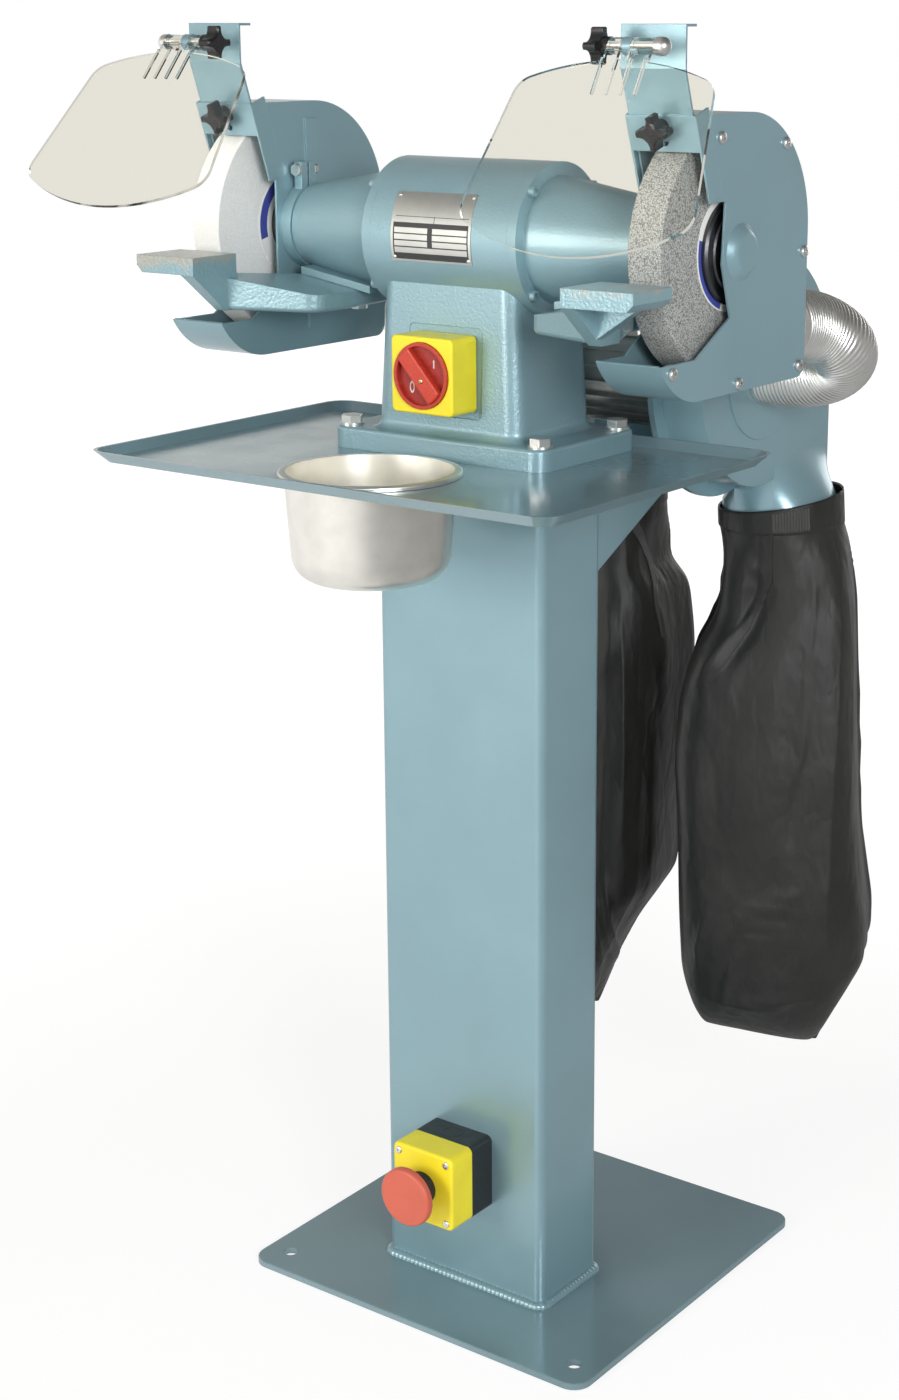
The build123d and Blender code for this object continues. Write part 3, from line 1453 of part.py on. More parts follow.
with BuildPart() as fan_housing:
    with BuildSketch(fan_across(flange_x)):
        Circle(fan_drum_radius + fan_flange_rim)
        with BuildLine():
            draw_outlet(-fan_flange_rim)
        make_face()
    extrude(amount=fan_flange_thickness)
    for inset, mode in ((0.0, Mode.ADD), (fan_sheet, Mode.SUBTRACT)):
        with BuildSketch(fan_across(drum_back_x)):
            Circle(fan_drum_radius - inset)
            with BuildLine():
                draw_outlet(inset)
            make_face()
        extrude(amount=fan_drum_depth - inset, mode=mode)
        with BuildSketch(fan_level(fan_throat_drop)):
            Rectangle(fan_drum_depth - 2 * inset, outlet_depth - 2 * inset)
        with BuildSketch(fan_level(neck_round_drop)):
            Circle(neck_radius - inset)
        loft(mode=mode)
        with BuildSketch(fan_level(neck_end_drop)):
            Circle(neck_radius - inset)
        extrude(amount=neck_end_drop - neck_round_drop, mode=mode)
    with BuildSketch(fan_across(fan_face_x)):
        Circle(inlet_plate_radius)
    extrude(amount=inlet_plate_thickness)
    with BuildSketch(fan_across(fan_face_x)):
        Circle(spigot_outer_radius)
    extrude(amount=inlet_spigot_length)
    with BuildSketch(fan_across(fan_face_x - fan_sheet)):
        Circle(spigot_outer_radius - spigot_wall)
    extrude(amount=inlet_spigot_length + fan_sheet, mode=Mode.SUBTRACT)
    with BuildSketch(fan_across(flange_x)):
        Circle(fan_shaft_radius + fan_shaft_passage)
    extrude(amount=fan_flange_thickness, mode=Mode.SUBTRACT)
save_pair("fan_housing", fan_housing.part, fan_middle_x)

# Impellers: back disc, leaning blades and a front ring
impeller_x = drum_middle_x - impeller_width / 2
blade_length = impeller_radius - impeller_eye_radius
blade_middle_radius = impeller_eye_radius + blade_length / 2 - impeller_blade_inset
with BuildPart() as fan_impellers:
    with BuildSketch(fan_across(impeller_x)):
        Circle(impeller_radius)
    extrude(amount=fan_sheet)
    with BuildSketch(fan_across(impeller_x)):
        with PolarLocations(blade_middle_radius, impeller_blades):
            Rectangle(blade_length, fan_sheet, rotation=impeller_blade_lean)
    extrude(amount=impeller_width)
    with BuildSketch(fan_across(impeller_x + impeller_width - fan_sheet)):
        Circle(impeller_radius)
        Circle(impeller_eye_radius, mode=Mode.SUBTRACT)
    extrude(amount=fan_sheet)
    with BuildSketch(fan_across(impeller_x)):
        Circle(impeller_hub_radius)
    extrude(amount=impeller_hub_length)
    with BuildSketch(fan_across(impeller_x)):
        Circle(fan_shaft_radius + press_clearance)
    extrude(amount=impeller_width, mode=Mode.SUBTRACT)
    mirror(about=Plane.YZ.offset(fan_middle_x))
save("fan_impellers", fan_impellers.part)

# Fan shaft
shaft_end_x = impeller_x + impeller_hub_length
with BuildPart() as fan_shaft:
    with BuildSketch(fan_across(2 * fan_middle_x - shaft_end_x)):
        Circle(fan_shaft_radius)
    extrude(amount=2 * (shaft_end_x - fan_middle_x))
save("fan_shaft", fan_shaft.part)

# Finned fan motor between the two housings
motor_start_x = 2 * fan_middle_x - flange_x
with BuildPart() as fan_motor:
    with BuildSketch(fan_across(motor_start_x)):
        Circle(fan_motor_radius - fan_motor_fin_height)
    extrude(amount=flange_x - motor_start_x)
    for x in (motor_start_x, flange_x - 2 * fan_flange_thickness):
        with BuildSketch(fan_across(x)):
            Circle(fan_motor_radius)
        extrude(amount=2 * fan_flange_thickness)
    with BuildSketch(fan_across(motor_start_x)):
        with PolarLocations(fan_motor_radius - fan_motor_fin_height, fan_motor_fins):
            Rectangle(2 * fan_motor_fin_height, fan_sheet)
    extrude(amount=flange_x - motor_start_x)
    with BuildSketch(fan_across(motor_start_x)):
        Circle(fan_shaft_radius + running_clearance)
    extrude(amount=flange_x - motor_start_x, mode=Mode.SUBTRACT)
save("fan_motor", fan_motor.part)

# Bracket from the column's back to a saddle under the fan motor
shelf_top_z = fan_z - fan_motor_radius - bracket_shelf_below_motor
saddle_radius = fan_motor_radius + fan_motor_fin_height + press_clearance
bracket_plane = Plane(
    origin=(fan_middle_x - bracket_width / 2, 0, 0), x_dir=(0, 1, 0), z_dir=(1, 0, 0)
)
with BuildPart() as fan_bracket:
    with BuildSketch(bracket_plane):
        with BuildLine():
            shelf_end_y = fan_y + bracket_saddle_depth / 2
            Polyline(
                (column_back_y, shelf_top_z),
                (shelf_end_y, shelf_top_z),
                (shelf_end_y, shelf_top_z - bracket_thickness),
                (column_back_y + bracket_thickness, shelf_top_z - bracket_thickness),
                (column_back_y + bracket_thickness, shelf_top_z - bracket_height),
                (column_back_y, shelf_top_z - bracket_height),
                close=True,
            )
        make_face()
    extrude(amount=bracket_width)
    for x in (-bracket_width / 2, bracket_width / 2 - bracket_thickness):
        with BuildSketch(bracket_plane.offset(x + bracket_width / 2)):
            with BuildLine():
                inner_y = column_back_y + bracket_thickness
                inner_z = shelf_top_z - bracket_thickness
                Polyline(
                    (inner_y, inner_z),
                    (fan_y, inner_z),
                    (inner_y, shelf_top_z - bracket_height),
                    close=True,
                )
            make_face()
        extrude(amount=bracket_thickness)
    with BuildSketch(Plane(origin=(fan_middle_x, fan_y, shelf_top_z), z_dir=(0, 0, 1))):
        Rectangle(bracket_saddle_width, bracket_saddle_depth)
    extrude(amount=bracket_saddle_rise)
    with BuildSketch(fan_across(motor_start_x)):
        Circle(saddle_radius)
    extrude(amount=flange_x - motor_start_x, mode=Mode.SUBTRACT)
save("fan_bracket", fan_bracket.part)


# Ribbed hoses from the guards' spigots to the fan inlets
def ribbed_hose(inlet_x):
    """Hose of the left side, from the left guard's spigot to a fan inlet at inlet_x."""
    route = [
        Vector(-spigot_x, spindle_y + guard_rear + slide_clearance, spindle_z - spigot_drop),
        Vector(-spigot_x, fan_y - hose_bend_y, spindle_z - spigot_drop),
        Vector(-spigot_x - hose_overhang, fan_y, fan_z),
        Vector(inlet_x, fan_y, fan_z),
    ]
    with BuildLine() as path:
        FilletPolyline(*route, radius=[hose_upper_bend_radius, hose_lower_bend_radius])
    line = path.wire()
    ribs = round((line.length - 2 * hose_cuff) / hose_rib_pitch)
    pitch = (line.length - 2 * hose_cuff) / ribs
    steady = Vector(-1, 1, 0)

    def section(distance):
        share = distance / line.length
        tangent = line.tangent_at(share)
        across_dir = steady - tangent * steady.dot(tangent)
        return Plane(origin=line.position_at(share), x_dir=across_dir, z_dir=tangent)

    rings = [(0, hose_valley_radius)]
    for rib in range(ribs):
        for share, radius in (
            (hose_rib_foot, hose_valley_radius),
            (hose_rib_shoulder, hose_rib_radius),
            (1 - hose_rib_shoulder, hose_rib_radius),
            (1 - hose_rib_foot, hose_valley_radius),
        ):
            rings.append((hose_cuff + (rib + share) * pitch, radius))
    rings.append((line.length, hose_valley_radius))
    with BuildPart() as hose:
        for distance, radius in rings:
            with BuildSketch(section(distance)):
                Circle(radius)
        loft(ruled=True)
        for distance in [0] + [hose_cuff + rib * pitch for rib in range(ribs + 1)] + [line.length]:
            with BuildSketch(section(distance)):
                Circle(spigot_outer_radius + slide_clearance)
        loft(ruled=True, mode=Mode.SUBTRACT)
    return hose.part


inlet_reach = fan_face + inlet_plate_thickness + slide_clearance
save("hose_left", ribbed_hose(fan_middle_x - inlet_reach))
save("hose_right", mirror(ribbed_hose(-fan_middle_x - inlet_reach), about=Plane.YZ))

# Dust bags: each hangs from the neck of its fan
bag_top_z = fan_z - neck_end_drop + bag_mouth_height
with BuildPart() as bag:
    for drop, half_width, half_depth, lean in (
        (0, bag_mouth_radius, bag_mouth_radius, 0),
        (bag_band_drop, bag_mouth_radius, bag_mouth_radius, 0),
        (bag_shoulder_drop, bag_shoulder_width, bag_shoulder_depth, bag_lean),
        (bag_belly_drop, bag_half_width, bag_half_depth, bag_lean),
        (bag_hip_drop, bag_hip_width, bag_hip_depth, bag_lean),
        (bag_length, bag_bottom_width, bag_bottom_depth, bag_lean),
    ):
        with BuildSketch(
            Plane(origin=(drum_middle_x - lean, fan_y + outlet_middle_y, bag_top_z - drop), z_dir=(0, 0, 1))
        ):
            Ellipse(half_width, half_depth)
    loft()
    with BuildSketch(fan_level(neck_end_drop + slide_clearance)):
        Circle(neck_radius + slide_clearance)
    extrude(amount=bag_mouth_height + slide_clearance, mode=Mode.SUBTRACT)
save_pair("bag", bag.part, fan_middle_x)
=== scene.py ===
"""Pedestal grinder with two wheels, clear shields and dust bags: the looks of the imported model, in metres."""

import json
import math

import bmesh
import bpy
from mathutils import Matrix, Vector, noise
from mathutils.bvhtree import BVHTree


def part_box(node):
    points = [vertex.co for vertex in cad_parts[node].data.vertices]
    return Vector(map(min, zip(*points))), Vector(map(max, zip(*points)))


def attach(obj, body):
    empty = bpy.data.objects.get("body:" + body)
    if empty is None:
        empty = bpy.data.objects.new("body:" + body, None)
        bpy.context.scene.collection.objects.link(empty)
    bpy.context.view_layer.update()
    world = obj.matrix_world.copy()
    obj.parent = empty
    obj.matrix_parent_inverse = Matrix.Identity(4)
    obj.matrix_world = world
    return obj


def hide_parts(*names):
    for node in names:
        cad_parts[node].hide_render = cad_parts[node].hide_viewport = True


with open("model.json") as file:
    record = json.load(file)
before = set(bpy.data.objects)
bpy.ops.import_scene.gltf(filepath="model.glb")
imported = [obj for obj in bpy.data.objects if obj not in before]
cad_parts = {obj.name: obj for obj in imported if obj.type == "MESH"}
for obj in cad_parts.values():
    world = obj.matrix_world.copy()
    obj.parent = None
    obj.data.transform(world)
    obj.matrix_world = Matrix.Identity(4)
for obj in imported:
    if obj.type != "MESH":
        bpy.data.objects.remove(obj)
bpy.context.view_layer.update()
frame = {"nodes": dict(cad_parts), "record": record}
nodes = frame["nodes"]
scene = bpy.context.scene
scene.view_settings.view_transform = "Standard"

# The photograph's camera, solved from the base, column and tray
image_width, image_height = 899, 1400
camera_place = Vector((1.2077, -1.6701, 1.1600))
camera_yaw, camera_pitch, camera_roll = 35.963, -14.533, -0.062
focal_pixels = 2340.9
principal_x, principal_y = 521.65, 621.07

# Sizes repeated from the construction
plate_outer_radius = 0.0651
plate_middle, plate_half_arc = math.radians(9.8), math.radians(26.35)
handle_recess = 0.0075
handle_angle = math.radians(132.0)
base_top, weld_leg = 0.006, 0.005
column_corner_radius = 0.008
stop_collar_radius = 0.015
hose_radius = 0.031
hose_inlet_x = {"left": -0.0918, "right": 0.1518}
neck_places = {"left": Vector((-0.069, 0.2345)), "right": Vector((0.129, 0.2345))}
flange_places = (-0.045, 0.105)

# Heads and shanks of screws: radius, length
cover_head, cover_shank = (0.005, 0.0035), (0.0025, 0.0075)
stop_head, stop_shank = (0.0035, 0.0015), (0.002, 0.03)
grip_head, grip_shank = (0.0021, 0.0008), (0.0010, 0.002)

# Control points of the right hose, fitted to the photograph
hose_route = (
    (0.2245, 0.0453, 0.9060),
    (0.2245, 0.0929, 0.9060),
    (0.2484, 0.1241, 0.8890),
    (0.2353, 0.1579, 0.8625),
    (0.2006, 0.1600, 0.8480),
)

spindle_axis = sum(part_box("spindle"), Vector()) / 2
photo_right = Vector((math.cos(math.radians(camera_yaw)), math.sin(math.radians(camera_yaw)), 0.0))
photo_ahead = Vector((-photo_right.y, photo_right.x, 0.0))
bright_side = (-0.85, -0.5, 0.0)
white = (1.0, 1.0, 1.0, 1.0)


class Nodes:
    """Adds nodes to a shader tree."""

    def __init__(self, tree):
        self.tree = tree

    def join(self, socket, value):
        """Links a socket to another node's output, or sets it."""
        if isinstance(value, bpy.types.NodeSocket):
            self.tree.links.new(value, socket)
        else:
            socket.default_value = value

    def add(self, kind, inputs=None, **settings):
        """A new node; each input is a number, a vector or another node's output."""
        node = self.tree.nodes.new("ShaderNode" + kind)
        for key, value in settings.items():
            setattr(node, key, value)
        for key, value in (inputs or {}).items():
            self.join(node.inputs[key], value)
        return node

    def math(self, operation, first, second=0.0, third=0.0):
        return self.add("Math", {0: first, 1: second, 2: third}, operation=operation).outputs[0]

    def dot(self, first, second):
        return self.add("VectorMath", {0: first, 1: second}, operation="DOT_PRODUCT").outputs["Value"]

    def axis(self, vector, letter):
        return self.add("SeparateXYZ", {0: vector}).outputs[letter]

    def blend(self, share, first, second):
        """A number between two others."""
        return self.add("Mix", {0: share, 2: first, 3: second}).outputs[0]

    def tint(self, share, first, second):
        """A colour between two others."""
        return self.add("MixRGB", {0: share, 1: first, 2: second}).outputs[0]

    def spread(self, value, low, high, start=0.3, end=0.7):
        """Maps a value onto a range."""
        inputs = {"Value": value, "From Min": start, "From Max": end, "To Min": low, "To Max": high}
        return self.add("MapRange", inputs).outputs[0]


class Look(Nodes):
    """A procedural material: one Principled shader with texture nodes in front of it."""

    def __init__(self, name, colour, roughness, sockets=None):
        self.material = bpy.data.materials.new(name)
        self.material.use_nodes = True
        super().__init__(self.material.node_tree)
        self.shader = self.tree.nodes["Principled BSDF"]
        self.colour = colour
        self.place = self.add("TexCoord").outputs["Object"]
        self.put("Base Color", (*colour, 1.0))
        self.put("Roughness", roughness)
        for socket, value in (sockets or {}).items():
            self.put(socket, value)

    def put(self, socket, value):
        """Sets a shader socket, or links it when the value is another node's output."""
        self.join(self.shader.inputs[socket], value)

    def stretched(self, scale):
        """The place on the piece, stretched along the axes."""
        return self.add("VectorMath", {0: self.place, 1: scale}, operation="MULTIPLY").outputs[0]

    def lumps(self, size, detail=2.0, vector=None):
        """Noise whose lumps are about this size in metres."""
        inputs = {"Vector": vector or self.place, "Scale": 1.0 / size, "Detail": detail}
        return self.add("TexNoise", inputs).outputs["Fac"]

    def grains(self, size):
        """Cells of about this size in metres, as the distance to their middle."""
        return self.add("TexVoronoi", {"Vector": self.place, "Scale": 1.0 / size}).outputs["Distance"]

    def ramp(self, value, stops):
        """Colours along a value from 0 to 1."""
        node = self.add("ValToRGB", {"Fac": value})
        while len(node.color_ramp.elements) < len(stops):
            node.color_ramp.elements.new(0.5)
        for element, (position, colour) in zip(node.color_ramp.elements, stops):
            element.position = position
            element.color = (*colour, 1.0)
        return node.outputs["Color"]

    def shade(self, value, darker, lighter):
        """Colour drift between a darker and a lighter share of the base colour."""
        low = [darker * c for c in self.colour]
        high = [min(1.0, lighter * c) for c in self.colour]
        self.put("Base Color", self.ramp(value, [(0.32, low), (0.68, high)]))

    def relief(self, height, depth, edge=0.0):
        """Bumps of this depth in metres, over edges that are broken by a small radius."""
        inputs = {"Height": height, "Distance": depth, "Strength": 1.0}
        if edge:
            inputs["Normal"] = self.add("Bevel", {"Radius": edge}, samples=4).outputs[0]
        self.put("Normal", self.add("Bump", inputs).outputs[0])

    def show(self, shader):
        """Makes another shader's output the one that the material shows."""
        self.join(self.tree.nodes["Material Output"].inputs["Surface"], shader)

    def on(self, *names):
        """Gives CAD nodes this material."""
        for name in names:
            nodes[name].data.materials.clear()
            nodes[name].data.materials.append(self.material)


blue = (0.252, 0.40, 0.455)
flake = {"Metallic": 0.4, "IOR": 1.6, "Coat Weight": 0.35, "Coat Roughness": 0.12}
cast = {"Metallic": 0.3, "IOR": 1.6, "Coat Weight": 0.3, "Coat Roughness": 0.16}
gloss = {"Metallic": 0.25, "IOR": 2.0}

# Paints: colour, roughness, width and depth of the orange peel, edge radius, other sockets
enamels = {
    "paint": (blue, 0.33, 0.0018, 0.00010, 0.0008, flake),
    "casting_paint": (blue, 0.39, 0.0022, 0.00030, 0.0008, cast),
    "rest_paint": ((0.24, 0.385, 0.435), 0.38, 0.0028, 0.0006, 0.0012, cast),
    "gloss_paint": ((0.215, 0.33, 0.37), 0.19, 0.006, 0.000006, 0.0, gloss),
}

# Metals: colour, roughness, its spread, marks per metre along each axis, their depth, edge if not 0.4 mm
metals = {
    "stainless": ((0.86, 0.84, 0.78), 0.32, 0.015, (2.0, 2.0, 500.0), 0.0000004),
    "zinc": ((0.80, 0.80, 0.78), 0.33, 0.05, (260.0, 260.0, 260.0), 0.000006),
    "dark_steel": ((0.10, 0.10, 0.105), 0.36, 0.05, (300.0, 300.0, 300.0), 0.00003),
    "core": ((0.30, 0.29, 0.28), 0.45, 0.05, (1400.0, 4.0, 4.0), 0.0001),
    "motor_metal": ((0.60, 0.58, 0.55), 0.42, 0.05, (150.0, 150.0, 150.0), 0.00003),
    "brass": ((0.62, 0.50, 0.26), 0.28, 0.05, (500.0, 500.0, 500.0), 0.00002),
    "hose_metal": ((0.86, 0.855, 0.83), 0.36, 0.05, (150.0, 150.0, 150.0), 0.000004),
    "plate": ((0.56, 0.565, 0.54), 0.42, 0.05, (900.0, 12.0, 12.0), 0.000006, 0.0),
}

# Plastics: colour, roughness, width and depth of the grain, edge if not 0.6 mm
plastics = {
    "knob_black": ((0.013, 0.013, 0.014), 0.24, 0.0012, 0.00003),
    "switch_yellow": ((0.95, 0.80, 0.030), 0.36, 0.0008, 0.00003),
    "switch_red": ((0.60, 0.055, 0.030), 0.26, 0.0009, 0.00002),
    "stop_red": ((0.64, 0.130, 0.080), 0.42, 0.0009, 0.00003),
    "switch_black": ((0.020, 0.022, 0.024), 0.42, 0.0008, 0.00005),
    "mark_white": ((0.78, 0.70, 0.68), 0.5, 0.0006, 0.00002, 0.0),
    "print_black": ((0.030, 0.032, 0.034), 0.5, 0.0006, 0.00001, 0.0),
    "webbing": ((0.045, 0.045, 0.044), 0.6, 0.0007, 0.0001, 0.0),
    "elastic": ((0.060, 0.060, 0.057), 0.55, 0.0007, 0.00008, 0.0),
}


def enamel(name, colour, roughness, peel, depth, edge, sockets):
    """Sprayed metal-flake paint: slow drift of shade and gloss, and orange peel."""
    look = Look(name, colour, roughness, sockets)
    look.shade(look.lumps(0.11, 4.0), 0.955, 1.04)
    look.put("Roughness", look.spread(look.lumps(0.05, 3.0), roughness - 0.04, roughness + 0.05))
    look.relief(look.lumps(peel, 2.5), depth, edge)
    return look


def metal(name, colour, roughness, wear, streak, depth, edge=0.0004):
    """Machined or plated metal with fine marks, which may be stretched along an axis."""
    look = Look(name, colour, roughness, {"Metallic": 1.0})
    marks = look.lumps(1.0, 3.0, look.stretched(streak))
    look.shade(look.lumps(0.02, 3.0), 0.94, 1.04)
    look.put("Roughness", look.spread(marks, roughness - wear, roughness + wear))
    look.relief(marks, depth, edge)
    return look


def plastic(name, colour, roughness, grain, depth, edge=0.0006):
    """Moulded plastic with a fine spark-eroded grain."""
    look = Look(name, colour, roughness)
    look.shade(look.lumps(0.03, 3.0), 0.95, 1.04)
    look.put("Roughness", look.spread(look.lumps(0.006, 4.0), roughness - 0.05, roughness + 0.07))
    look.relief(look.lumps(grain, 1.5), depth, edge)
    return look


def make_looks():
    """All materials by name, with one for each slot among them."""
    looks = {}
    for kind, rows in ((enamel, enamels), (metal, metals), (plastic, plastics)):
        for name, settings in rows.items():
            looks[name] = kind(name, *settings)
    wear_rests(looks["rest_paint"])
    # Painted shade in the red handle's recesses
    paint_recess_shade(looks["switch_red"])
    looks["stainless"].put("Anisotropic", 0.4)
    for name in ("webbing", "elastic"):
        looks[name].put("Sheen Weight", 0.2)
    looks["wheel_white"] = white_wheel()
    looks["wheel_grey"] = grey_wheel()
    looks["blotter"] = paper_label()
    looks["bag_cloth"] = nylon()
    return looks


def wear_rests(look):
    """Wears the rests' paint to grey round the tables' tops, less so on the right."""
    worn, spared_right = (0.37, 0.385, 0.35), 0.42
    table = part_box("tool_rest_left")[1].z
    height = look.spread(look.axis(look.place, "Z"), 0.0, 1.0, table - 0.018, table - 0.002)
    patchy = look.math("ADD", height, look.spread(look.lumps(0.014, 4.0), -0.4, 0.3))
    right = look.math("GREATER_THAN", look.axis(look.place, "X"), 0.0)
    patchy = look.math("MULTIPLY_ADD", right, -spared_right, patchy)
    look.put("Base Color", look.ramp(patchy, [(0.35, look.colour), (0.90, worn)]))


def paint_recess_shade(look):
    """Painted shade: darkens the red handle's colour towards the floor of its recesses, where shade falls."""
    # Colour of the painted shade at the floor of the recesses
    recess_shade_colour = (0.36, 0.026, 0.018)
    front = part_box("switch_handle")[0].y
    depth = look.spread(look.axis(look.place, "Y"), 0.0, 1.0, front + 0.001, front + handle_recess)
    look.put("Base Color", look.ramp(depth, [(0.0, look.colour), (1.0, recess_shade_colour)]))


def white_wheel():
    """White grit in a white bond."""
    look = Look("wheel_white", (0.80, 0.80, 0.785), 0.92)
    look.shade(look.lumps(0.0012, 4.0), 0.93, 1.06)
    look.relief(look.math("ADD", look.grains(0.0011), look.lumps(0.0022, 4.0)), 0.00022)
    return look


def grey_wheel():
    """Grey grit with pale and dark specks."""
    grit = 0.0013
    pale, middle, dark = (0.56, 0.57, 0.55), (0.385, 0.395, 0.38), (0.16, 0.165, 0.165)
    look = Look("wheel_grey", (0.40, 0.40, 0.39), 0.88)
    look.put("Base Color", look.ramp(look.grains(grit), [(0.10, pale), (0.40, middle), (0.80, dark)]))
    look.relief(look.math("ADD", look.grains(grit), look.lumps(0.0022, 4.0)), 0.0003)
    return look


def paper_label():
    """White paper washers, each with a plain blue arc on a part of its rim."""
    arc_colour = (0.055, 0.075, 0.36)
    arc_inner, arc_outer = 0.0372, 0.0462
    left_middle, right_middle = 0.35, -0.52
    left_half, right_half = 0.61, 0.78
    look = Look("blotter", (0.84, 0.84, 0.81), 0.6)
    place = look.add("VectorMath", {0: look.place, 1: -spindle_axis}, operation="ADD").outputs[0]
    along, ahead, up = (look.axis(place, letter) for letter in "XYZ")
    squares = [look.math("MULTIPLY", side, side) for side in (ahead, up)]
    radius = look.math("SQRT", look.math("ADD", *squares))
    angle = look.math("ARCTAN2", up, look.math("MULTIPLY", ahead, -1.0))
    right = look.math("GREATER_THAN", along, 0.0)
    middle = look.math("MULTIPLY_ADD", right, right_middle - left_middle, left_middle)
    half = look.math("MULTIPLY_ADD", right, right_half - left_half, left_half)
    turned = look.math("ABSOLUTE", look.math("SUBTRACT", angle, middle))
    outside = look.math("GREATER_THAN", radius, arc_inner)
    ring = look.math("MULTIPLY", outside, look.math("LESS_THAN", radius, arc_outer))
    arc = look.math("MULTIPLY", look.math("LESS_THAN", turned, half), ring)
    look.put("Base Color", look.ramp(arc, [(0.0, look.colour), (1.0, arc_colour)]))
    look.relief(look.lumps(0.0007, 3.0), 0.00004)
    return look


def clear_sheet(node):
    """Clear polycarbonate with a warm tint, a gloss, faint ripples and a greyer cut edge; light passes it."""
    tint, rim = (0.93, 0.925, 0.90), (0.60, 0.61, 0.60)
    clear = {"Transmission Weight": 1.0, "IOR": 1.16, "Coat Weight": 0.1}
    look = Look("clear_" + node, tint, 0.02, clear)
    face = max(nodes[node].data.polygons, key=lambda polygon: polygon.area).normal
    square = look.math("ABSOLUTE", look.dot(look.add("TexCoord").outputs["Normal"], face))
    look.put("Base Color", look.ramp(square, [(0.45, rim), (0.6, tint)]))
    look.put("Roughness", look.spread(look.lumps(0.02, 5.0), 0.01, 0.05))
    look.relief(look.lumps(0.03, 1.0), 0.00025)
    shadow = look.add("LightPath").outputs["Is Shadow Ray"]
    through = look.add("BsdfTransparent", {"Color": (*tint, 1.0)}).outputs[0]
    look.show(look.add("MixShader", {0: shadow, 1: look.shader.outputs[0], 2: through}).outputs[0])
    return look


def nylon():
    """Thin black nylon: a fine weave, creases, a satin sheen and dull dusty patches."""
    thread = {"Scale": 420.0, "Distortion": 0.4}
    crumple_height, wrinkle_height = 170.0, -45.0
    sheen = {"Sheen Weight": 0.03, "Sheen Roughness": 0.4, "Sheen Tint": (0.8, 0.8, 0.8, 1.0)}
    look = Look("bag_cloth", (0.019, 0.019, 0.0176), 0.46, {"Specular IOR Level": 0.42, **sheen})
    look.shade(look.lumps(0.07, 4.0), 0.8, 1.3)
    look.put("Roughness", look.spread(look.lumps(0.04, 4.0), 0.38, 0.48))

    def creases(size, detail, height_scale):
        field = look.lumps(size, detail, look.stretched((1.0, 1.0, height_scale)))
        return look.math("ABSOLUTE", look.math("SUBTRACT", field, 0.5))

    warp = look.add("TexWave", {"Vector": look.place, **thread}, bands_direction="DIAGONAL")
    weft = look.add("TexWave", {"Vector": look.place, **thread}, bands_direction="Z")
    weave = look.math("ADD", warp.outputs["Fac"], weft.outputs["Fac"])
    crumple = look.math("MULTIPLY", creases(0.06, 3.0, 0.45), crumple_height)
    wrinkle = look.math("MULTIPLY", creases(0.022, 2.0, 0.5), wrinkle_height)
    look.relief(look.math("ADD", weave, look.math("ADD", crumple, wrinkle)), 0.00004)
    return look


def ring_mesh(name, rings, caps=(True, True), sharp=40.0):
    """A skin through rings of points, closed at the ends that have a cap."""
    count = len(rings[0])
    faces = []
    for i in range(len(rings) - 1):
        for k in range(count):
            a, b = i * count + k, i * count + (k + 1) % count
            faces.append((a, b, b + count, a + count))
    last = (len(rings) - 1) * count
    if caps[0]:
        faces.append(tuple(reversed(range(count))))
    if caps[1]:
        faces.append(tuple(range(last, last + count)))
    mesh = bpy.data.meshes.new(name)
    mesh.from_pydata([p for ring in rings for p in ring], [], faces)
    soften(mesh, sharp)
    return mesh


def soften(mesh, sharp):
    """Smooth shading with edges kept where faces meet at more than this angle."""
    mesh.polygons.foreach_set("use_smooth", [True] * len(mesh.polygons))
    mesh.set_sharp_from_angle(angle=math.radians(sharp))
    mesh.update()


def turned_rings(layers, segments=40):
    """Rings round the Z axis from pairs of height and radius."""
    rings = []
    for height, radius in layers:
        ring = []
        for k in range(segments):
            angle = 2 * math.pi * k / segments
            ring.append(Vector((radius * math.cos(angle), radius * math.sin(angle), height)))
        rings.append(ring)
    return rings


def piece(name, mesh, look, *replaced, slot=None, body="stand"):
    """A visible piece that rides on a body and stands for CAD nodes, which it hides; the slot argument is not
    used.
    """
    made = bpy.data.objects.new(name, mesh)
    scene.collection.objects.link(made)
    mesh.materials.clear()
    mesh.materials.append(looks[look].material)
    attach(made, body)
    if replaced:
        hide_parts(*replaced)


def carved(mesh, cutter):
    """The mesh with another one cut out of it."""
    solid = bpy.data.objects.new("carved", mesh)
    tool = bpy.data.objects.new("cutter", cutter)
    scene.collection.objects.link(solid)
    scene.collection.objects.link(tool)
    cut = solid.modifiers.new("cut", "BOOLEAN")
    cut.object = tool
    cut.solver = "EXACT"
    bpy.context.view_layer.update()
    result = bpy.data.meshes.new_from_object(solid.evaluated_get(bpy.context.evaluated_depsgraph_get()))
    bpy.data.objects.remove(solid)
    bpy.data.objects.remove(tool)
    return result


def joined(name, meshes, sharp=35.0):
    """One mesh of several."""
    work = bmesh.new()
    for part in meshes:
        work.from_mesh(part)
        bpy.data.meshes.remove(part)
    result = bpy.data.meshes.new(name)
    work.to_mesh(result)
    work.free()
    soften(result, sharp)
    return result


def copies(name, mesh, places):
    """One mesh with a copy of another at each place."""
    parts = []
    for place in places:
        parts.append(mesh.copy())
        parts[-1].transform(place)
    return joined(name, parts)


def box_mesh(name, size, bevel):
    """A block with rounded edges, centred on the origin."""
    work = bmesh.new()
    bmesh.ops.create_cube(work, size=1.0)
    bmesh.ops.scale(work, vec=size, verts=work.verts)
    bmesh.ops.bevel(work, geom=work.edges[:], offset=bevel, segments=3, affect="EDGES", profile=0.5)
    mesh = bpy.data.meshes.new(name)
    work.to_mesh(mesh)
    work.free()
    soften(mesh, 30.0)
    return mesh


def facing(place, direction, spin=0.0):
    """A place with its Z axis along a direction."""
    turn = Vector(direction).to_track_quat("Z", "Y").to_matrix().to_4x4()
    return Matrix.Translation(place) @ turn @ Matrix.Rotation(spin, 4, "Z")


